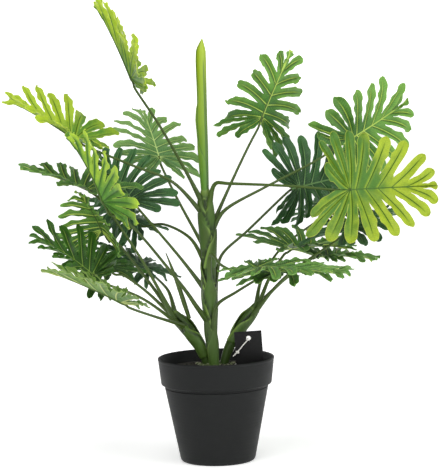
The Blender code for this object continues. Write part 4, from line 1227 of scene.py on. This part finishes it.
def blade_mesh(settings, name, leaf, number):
    """A leaf blade: lobes pleated along their veins, waved at their margins, with the midrib under it."""
    facts = blade_frame(leaf)
    length = facts[4]
    draw = Random(number + 50)
    phase = [draw.uniform(0, 6.28) for _ in range(DRAWS)]
    tips = [draw.uniform(-1, 1) for _ in range(DRAWS)]
    greener = GREENER_LEFT.get(name, 0.0)
    cuts = leaf_cuts(name)
    bm = bmesh.new()
    layers = [bm.verts.layers.float.new(key) for key in BLADE_FACTS]
    for rows in blade_strips(settings, name, number):
        grid = []
        for row in rows:
            line = []
            for u, v, side, lobe, t, w, off, edge in row:
                index = lobe + (10 if side < 0 else 0)
                base = LOBES[lobe][0] if lobe < len(LOBES) else (APEX_ROOT, 0)
                run = (Vector((abs(u), abs(v))) - Vector(base)).length * length / MM
                other = lobe + (1 if w > 0 else -1)
                if lobe == len(LOBES):
                    run = (abs(u) - APEX_ROOT) * length / MM
                    other = lobe - 1
                # up to the cut, a margin is shared with the next lobe; beyond it, the lobe goes its own way
                sinus = cuts[min(lobe, other)] if other >= 0 else 0.1
                free = smooth(sinus, sinus + 0.22, t)
                tied = abs(w) * (1 - free)
                own = lobe_wave(leaf, side, lobe)
                next_wave = lobe_wave(leaf, side, other) if other >= 0 else own
                wave = (own * (1 - tied / 2) + next_wave * tied / 2) * t * t
                grown = smooth(0.0, 0.25, t)
                depth = settings.pleat * abs(w) ** 0.75 * grown * (1 - 0.5 * smooth(0.7, 1.0, t))
                depth += settings.twist * w * tips[index + 20] * free
                ruffle = settings.ruffle * w * w * free * sin(run * MM / settings.ruffle_length * 2 * pi
                                                              + phase[index] + (1.4 if w < 0 else 0.0))
                droop = settings.droop * tips[index] * smooth(0.58, 1.0, t) ** 1.5
                droop -= settings.droop * 0.5 * smooth(0.7, 1.0, t)
                place, normal = blade_point(leaf, facts, u, v, wave)
                place = place + normal * (depth + ruffle + droop - settings.pleat * 0.4 * grown)
                tone = 0.02 + 0.42 * t + 0.12 * tips[index] * t + 0.4 * smooth(-0.1, 0.5, u)
                tone -= greener * smooth(0.5, 0.1, u) if side > 0 else 0.0
                to_margin = (edge - off) * length / MM + (0 if t > 0.3 else 9 * (0.3 - t) / 0.3)
                reach = t if lobe < len(LOBES) else min(1.0, (u - 0.5) / 0.5)
                # painted shade: this is 1 on the rear side of each vein and 0 on its front, so the crease
                # band is darker on one side
                lee = 0.5 - 0.5 * max(-1.0, min(1.0, w * 10))
                vertex = bm.verts.new(place)
                facts_here = (off * length / MM, abs(v) * length / MM, to_margin, reach, run, tone, lee)
                for layer, fact in zip(layers, facts_here):
                    vertex[layer] = fact
                line.append(vertex)
            grid.append(line)
        for low, high in zip(grid, grid[1:]):
            for start in range(len(low) - 1):
                bm.faces.new((low[start], low[start + 1], high[start + 1], high[start]))
    bmesh.ops.remove_doubles(bm, verts=bm.verts, dist=0.05 * MM)
    bmesh.ops.dissolve_degenerate(bm, edges=bm.edges, dist=0.01 * MM)
    blade = mesh_piece("blade", bm)
    # the faces look to the leaf's upper side
    up = facts[2]
    if sum(face.normal.dot(up) * face.area for face in blade.data.polygons) < 0:
        blade.data.flip_normals()
    select_only(blade)
    shell = blade.modifiers.new("thickness", "SOLIDIFY")
    shell.thickness = settings.thickness
    shell.offset = 0.0
    shell.use_even_offset = False
    bpy.ops.object.modifier_apply(modifier=shell.name)
    return blade


def rib_mesh(leaf):
    """The round midrib that stands out of the blade's underside and thins towards its tip."""
    facts = blade_frame(leaf)
    _, along, face, _, length = facts
    places = []
    sizes = []
    for step in range(RIB_STEPS + 1):
        share = step / RIB_STEPS
        u = -0.03 + (RIB_END + 0.03) * share
        place, normal = blade_point(leaf, facts, max(u, 0.0), 0.0)
        if u < 0:
            place += along * u * length
        size = RIB_RADII[0] + (RIB_RADII[1] - RIB_RADII[0]) * share
        places.append((place - normal * size * 0.75 * MM) / MM)
        sizes.append(size)
    rings = []
    for place, size, tangent in zip(places, sizes, directions(places)):
        outward, across = square_to(face, tangent)
        angles = [pi * side / (RIB_SIDES / 2) for side in range(RIB_SIDES)]
        rings.append([(place + (outward * cos(angle) + across * sin(angle)) * size, (0.0, 0.0, 0.4))
                      for angle in angles])
    bm = bmesh.new()
    ring_tube(bm, rings)
    return mesh_piece("rib", bm)


class PLANT_OT_leaves(bpy.types.Operator):
    """Models the twenty-two blades with their cut lobes, veins and midribs"""

    bl_idname = "plant.leaves"
    bl_label = "Leaf blades"

    def execute(self, context):
        settings = context.scene.plant_leaves
        made = {slot: leaf_material(slot) for slot in LEAF_COLOURS}
        ribbed = stem_material("moulded_midrib")
        for number, (name, leaf) in enumerate(LEAVES.items()):
            blade = blade_mesh(settings, name, leaf, number)
            blade.name = name + "_fine"
            rib = rib_mesh(leaf)
            blade.data.materials.append(made[OWN_COLOURS.get(name, leaf["shade"])])
            rib.data.materials.append(ribbed)
            select_only(blade)
            rib.select_set(True)
            bpy.ops.object.join()
            finish_piece(blade, name, leaf["shade"], 55)
        return {"FINISHED"}


class PLANT_OT_tag(bpy.types.Operator):
    """Models the bare card with its punched, pale-edged hole"""

    bl_idname = "plant.tag"
    bl_label = "Hang tag"

    def execute(self, context):
        settings = context.scene.plant_tag
        width, thick, height = (size * MM for size in TAG_SIZE)
        hole = Vector((TAG_HOLE[0] * MM, 0, TAG_HOLE[1] * MM))
        bpy.ops.object.select_all(action="DESELECT")
        bpy.ops.mesh.primitive_cube_add(size=1, location=(width / 2, 0, height / 2),
                                        scale=(width, thick, height))
        card = context.object
        card.name = "hang_tag_fine"
        at_origin(card)
        edit_all()
        bpy.ops.mesh.bevel(offset=TAG_BEVEL * MM, segments=3, affect="EDGES")
        bpy.ops.object.mode_set(mode="OBJECT")
        bpy.ops.mesh.primitive_cylinder_add(vertices=64, radius=TAG_HOLE_RADIUS * MM, depth=6 * MM,
                                            location=hole, rotation=(pi / 2, 0, 0))
        punch = context.object
        at_origin(punch)
        select_only(card)
        cut = card.modifiers.new("hole", "BOOLEAN")
        cut.operation = "DIFFERENCE"
        cut.object = punch
        bpy.ops.object.modifier_apply(modifier=cut.name)
        bpy.data.objects.remove(punch)
        # the bare board shows as a pale ring at the punched edge
        bpy.ops.object.select_all(action="DESELECT")
        ring, thickness = TAG_RING_RADII
        bpy.ops.mesh.primitive_torus_add(location=hole, rotation=(pi / 2, 0, 0), major_segments=64,
                                         minor_segments=12, major_radius=ring * MM,
                                         minor_radius=thickness * MM)
        edge = context.object
        at_origin(edge)
        # coated card: a dense black coat on board, with a soft low sheen and paper tooth
        coat = plain_material("coated_card", settings.card, 0.6, 1500.0, 0.05 * MM, (0.8, 1.3), 0.4, 0.25)
        card.data.materials.append(coat)
        # punched board edge: dull and pale, so that it shows as a white ring
        paper = plain_material("punched_board_edge", settings.paper, 0.8, 1500.0, 0.03 * MM)
        edge.data.materials.append(paper)
        select_only(card)
        edge.select_set(True)
        bpy.ops.object.join()
        card.matrix_world = (Matrix.Translation(Vector(TAG_CORNER) * MM)
                             @ Matrix.Rotation(radians(TAG_TILT), 4, "Y"))
        finish_piece(card, "hang_tag", "black_card", 35)
        return {"FINISHED"}


def twist(bm, places, closed, strand, radius, lay):
    """Three strands laid round a line of places in metres, each a fine closed tube."""
    count = len(places)
    runs = [0.0]
    for start, end in zip(places, places[1:]):
        runs.append(runs[-1] + (end - start).length)
    whole = runs[-1] + (places[0] - places[-1]).length * closed
    turns = round(whole / lay) if closed else whole / lay
    for part in range(3):
        rings = []
        for index, place in enumerate(places):
            before = places[index - 1] if index or closed else place
            after = places[(index + 1) % count] if index < count - 1 or closed else place
            ahead = (after - before).normalized()
            up = Vector((0, 0, 1)) - ahead * ahead.z
            if up.length < 0.2:
                up = Vector((0, -1, 0)) + ahead * ahead.y
            up.normalize()
            side_way = ahead.cross(up)
            angle = 2 * pi * (turns * runs[index] / whole + part / 3)
            middle = place + (up * cos(angle) + side_way * sin(angle)) * radius
            rings.append([bm.verts.new(middle + (up * cos(pi * side / 4) + side_way * sin(pi * side / 4))
                                       * strand) for side in range(8)])
        close_tube(bm, rings, closed)


class PLANT_OT_cord(bpy.types.Operator):
    """Models the twisted cord loop, its knot and the short tail"""

    bl_idname = "plant.cord"
    bl_label = "Cord"

    def execute(self, context):
        settings = context.scene.plant_tag
        bm = bmesh.new()
        route = [Vector(point) * MM for point in STRING_ROUTE]
        steps = 24
        ring = catmull([route[-1]] + route + [route[0], route[1]], steps)[steps:-steps * 2]
        twist(bm, ring, True, settings.strand, 0.38 * MM, LOOP_LAY * MM)
        tail = catmull([Vector(point) * MM for point in TAIL_ROUTE], 20)
        twist(bm, tail, False, settings.strand * 0.9, 0.34 * MM, KNOT_LAY * MM)
        angles = [2 * pi * step / 40 for step in range(40)]
        knot = [(Vector(KNOT_MIDDLE) + Vector((1.5 * cos(angle) + 0.5 * cos(2 * angle), 0.8 * sin(3 * angle),
                                               1.3 * sin(2 * angle)))) * MM for angle in angles]
        twist(bm, knot, True, settings.strand, 0.36 * MM, KNOT_LAY * MM)
        cord = mesh_piece("tag_string_fine", bm)
        # spun cotton: dull off-white, with a fine fuzz that softens its highlights
        cotton = plain_material("spun_cotton", settings.cord, 0.9, 4000.0, 0.05 * MM)
        finish_piece(cord, "tag_string", "white_cord", 60, cotton)
        return {"FINISHED"}


class PLANT_OT_stage(bpy.types.Operator):
    """Models the pale, glowing sweep and places the lights, the surround and the camera"""

    bl_idname = "plant.stage"
    bl_label = "Stage"

    def execute(self, context):
        settings = context.scene.plant_stage
        bpy.ops.object.select_all(action="DESELECT")
        bpy.ops.mesh.primitive_circle_add(vertices=96, radius=SWEEP_RADIUS, fill_type="NGON",
                                          location=(0, 0, 0))
        floor = context.object
        floor.name = "pale_sweep"
        edit_all()
        # its edge bends up through a quarter circle and goes on as a low wall, far outside every camera
        bpy.ops.mesh.extrude_edges_move()
        at = Vector((SWEEP_RADIUS, 0))
        for step in range(1, SWEEP_STEPS + 1):
            angle = pi / 2 * step / SWEEP_STEPS
            now = Vector((SWEEP_RADIUS + SWEEP_BEND * sin(angle), SWEEP_BEND * (1 - cos(angle))))
            if step > 1:
                bpy.ops.mesh.extrude_region_move()
            bpy.ops.transform.translate(value=(0, 0, now.y - at.y))
            bpy.ops.transform.resize(value=(now.x / at.x, now.x / at.x, 1), center_override=(0, 0, now.y))
            at = now
        bpy.ops.mesh.extrude_region_move(TRANSFORM_OT_translate={"value": (0, 0, SWEEP_WALL)})
        bpy.ops.object.mode_set(mode="OBJECT")
        at_origin(floor)
        bpy.ops.object.shade_smooth()
        # matte paper: an even dull white with no edge or grain in sight, which also glows as painted light
        paper = plain_material("matte_paper_sweep", settings.floor, 0.7, 300.0, 0.02 * MM)
        # the sweep glows more strongly far out than by the pot, where the plant shades it
        tree = paper.node_tree
        place = add_node(tree, "TexCoord", out="Object")
        away = add_node(tree, "VectorMath", (place,), "Value", operation="LENGTH")
        glow = add_node(tree, "MapRange", (away, 0.2, 1.8, settings.near_glow, settings.far_glow))
        finish_material(paper, {"Emission Color": (1, 1, 1, 1), "Emission Strength": glow})
        floor.data.materials.append(paper)
        for name, (place, size) in LIGHTS.items():
            self.light(name + "_light", place, size, getattr(settings, name + "_power"))
        world = bpy.data.worlds.new("white_surround")
        context.scene.world = world
        world.use_nodes = True
        ground = world.node_tree.nodes["Background"]
        ground.inputs["Color"].default_value = (1, 1, 1, 1)
        ground.inputs["Strength"].default_value = settings.sky
        context.scene.view_settings.view_transform = "Standard"
        self.camera(context)
        return {"FINISHED"}

    def light(self, name, place, size, power):
        """A square area light that looks at the plant's middle."""
        aim = Vector(LIGHT_AIM) - Vector(place)
        turn = aim.to_track_quat("-Z", "Y").to_euler()
        bpy.ops.object.light_add(type="AREA", location=place, rotation=turn)
        lamp = bpy.context.object
        lamp.name = name
        lamp.data.shape = "SQUARE"
        lamp.data.size = size
        lamp.data.energy = power

    def camera(self, context):
        """The photograph's own camera."""
        place = Vector(CAMERA_PLACE) * MM
        aim = Vector(CAMERA_AIM) * MM
        bpy.ops.object.camera_add(location=place)
        camera = context.object
        camera.name = "photo_camera"
        turn = (aim - place).to_track_quat("-Z", "Y").to_matrix().to_4x4()
        camera.matrix_world = Matrix.Translation(place) @ turn @ Matrix.Rotation(radians(CAMERA_ROLL), 4, "Z")
        camera.data.lens = CAMERA_LENS
        camera.data.sensor_width = CAMERA_SENSOR
        camera.data.clip_end = 20
        context.scene.camera = camera


class PLANT_PT_panel(bpy.types.Panel):
    """Lists the operators in the sidebar of the 3D view"""

    bl_label = "Potted Plant"
    bl_idname = "PLANT_PT_panel"
    bl_space_type = "VIEW_3D"
    bl_region_type = "UI"
    bl_category = "Potted Plant"

    def draw(self, context):
        for operator in OPERATORS:
            self.layout.operator(operator.bl_idname)


GROUPS = {"plant_pot": PLANT_PG_pot, "plant_stems": PLANT_PG_stems, "plant_leaves": PLANT_PG_leaves,
          "plant_tag": PLANT_PG_tag, "plant_stage": PLANT_PG_stage}
OPERATORS = (PLANT_OT_pot, PLANT_OT_fill, PLANT_OT_stems, PLANT_OT_spear, PLANT_OT_leaves, PLANT_OT_tag,
             PLANT_OT_cord, PLANT_OT_stage)


def register():
    """Makes the operators, the panel and the settings known to Blender."""
    for name, group in GROUPS.items():
        bpy.utils.register_class(group)
        setattr(bpy.types.Scene, name, PointerProperty(type=group))
    for operator in OPERATORS:
        bpy.utils.register_class(operator)
    bpy.utils.register_class(PLANT_PT_panel)


def unregister():
    """Takes back what register made known."""
    bpy.utils.unregister_class(PLANT_PT_panel)
    for operator in reversed(OPERATORS):
        bpy.utils.unregister_class(operator)
    for name, group in reversed(list(GROUPS.items())):
        delattr(bpy.types.Scene, name)
        bpy.utils.unregister_class(group)


def main():
    """Models every piece in order."""
    register()
    bpy.ops.plant.pot()
    bpy.ops.plant.fill()
    bpy.ops.plant.stems()
    bpy.ops.plant.spear()
    bpy.ops.plant.leaves()
    bpy.ops.plant.tag()
    bpy.ops.plant.cord()
    bpy.ops.plant.stage()


if __name__ == "__main__":
    main()
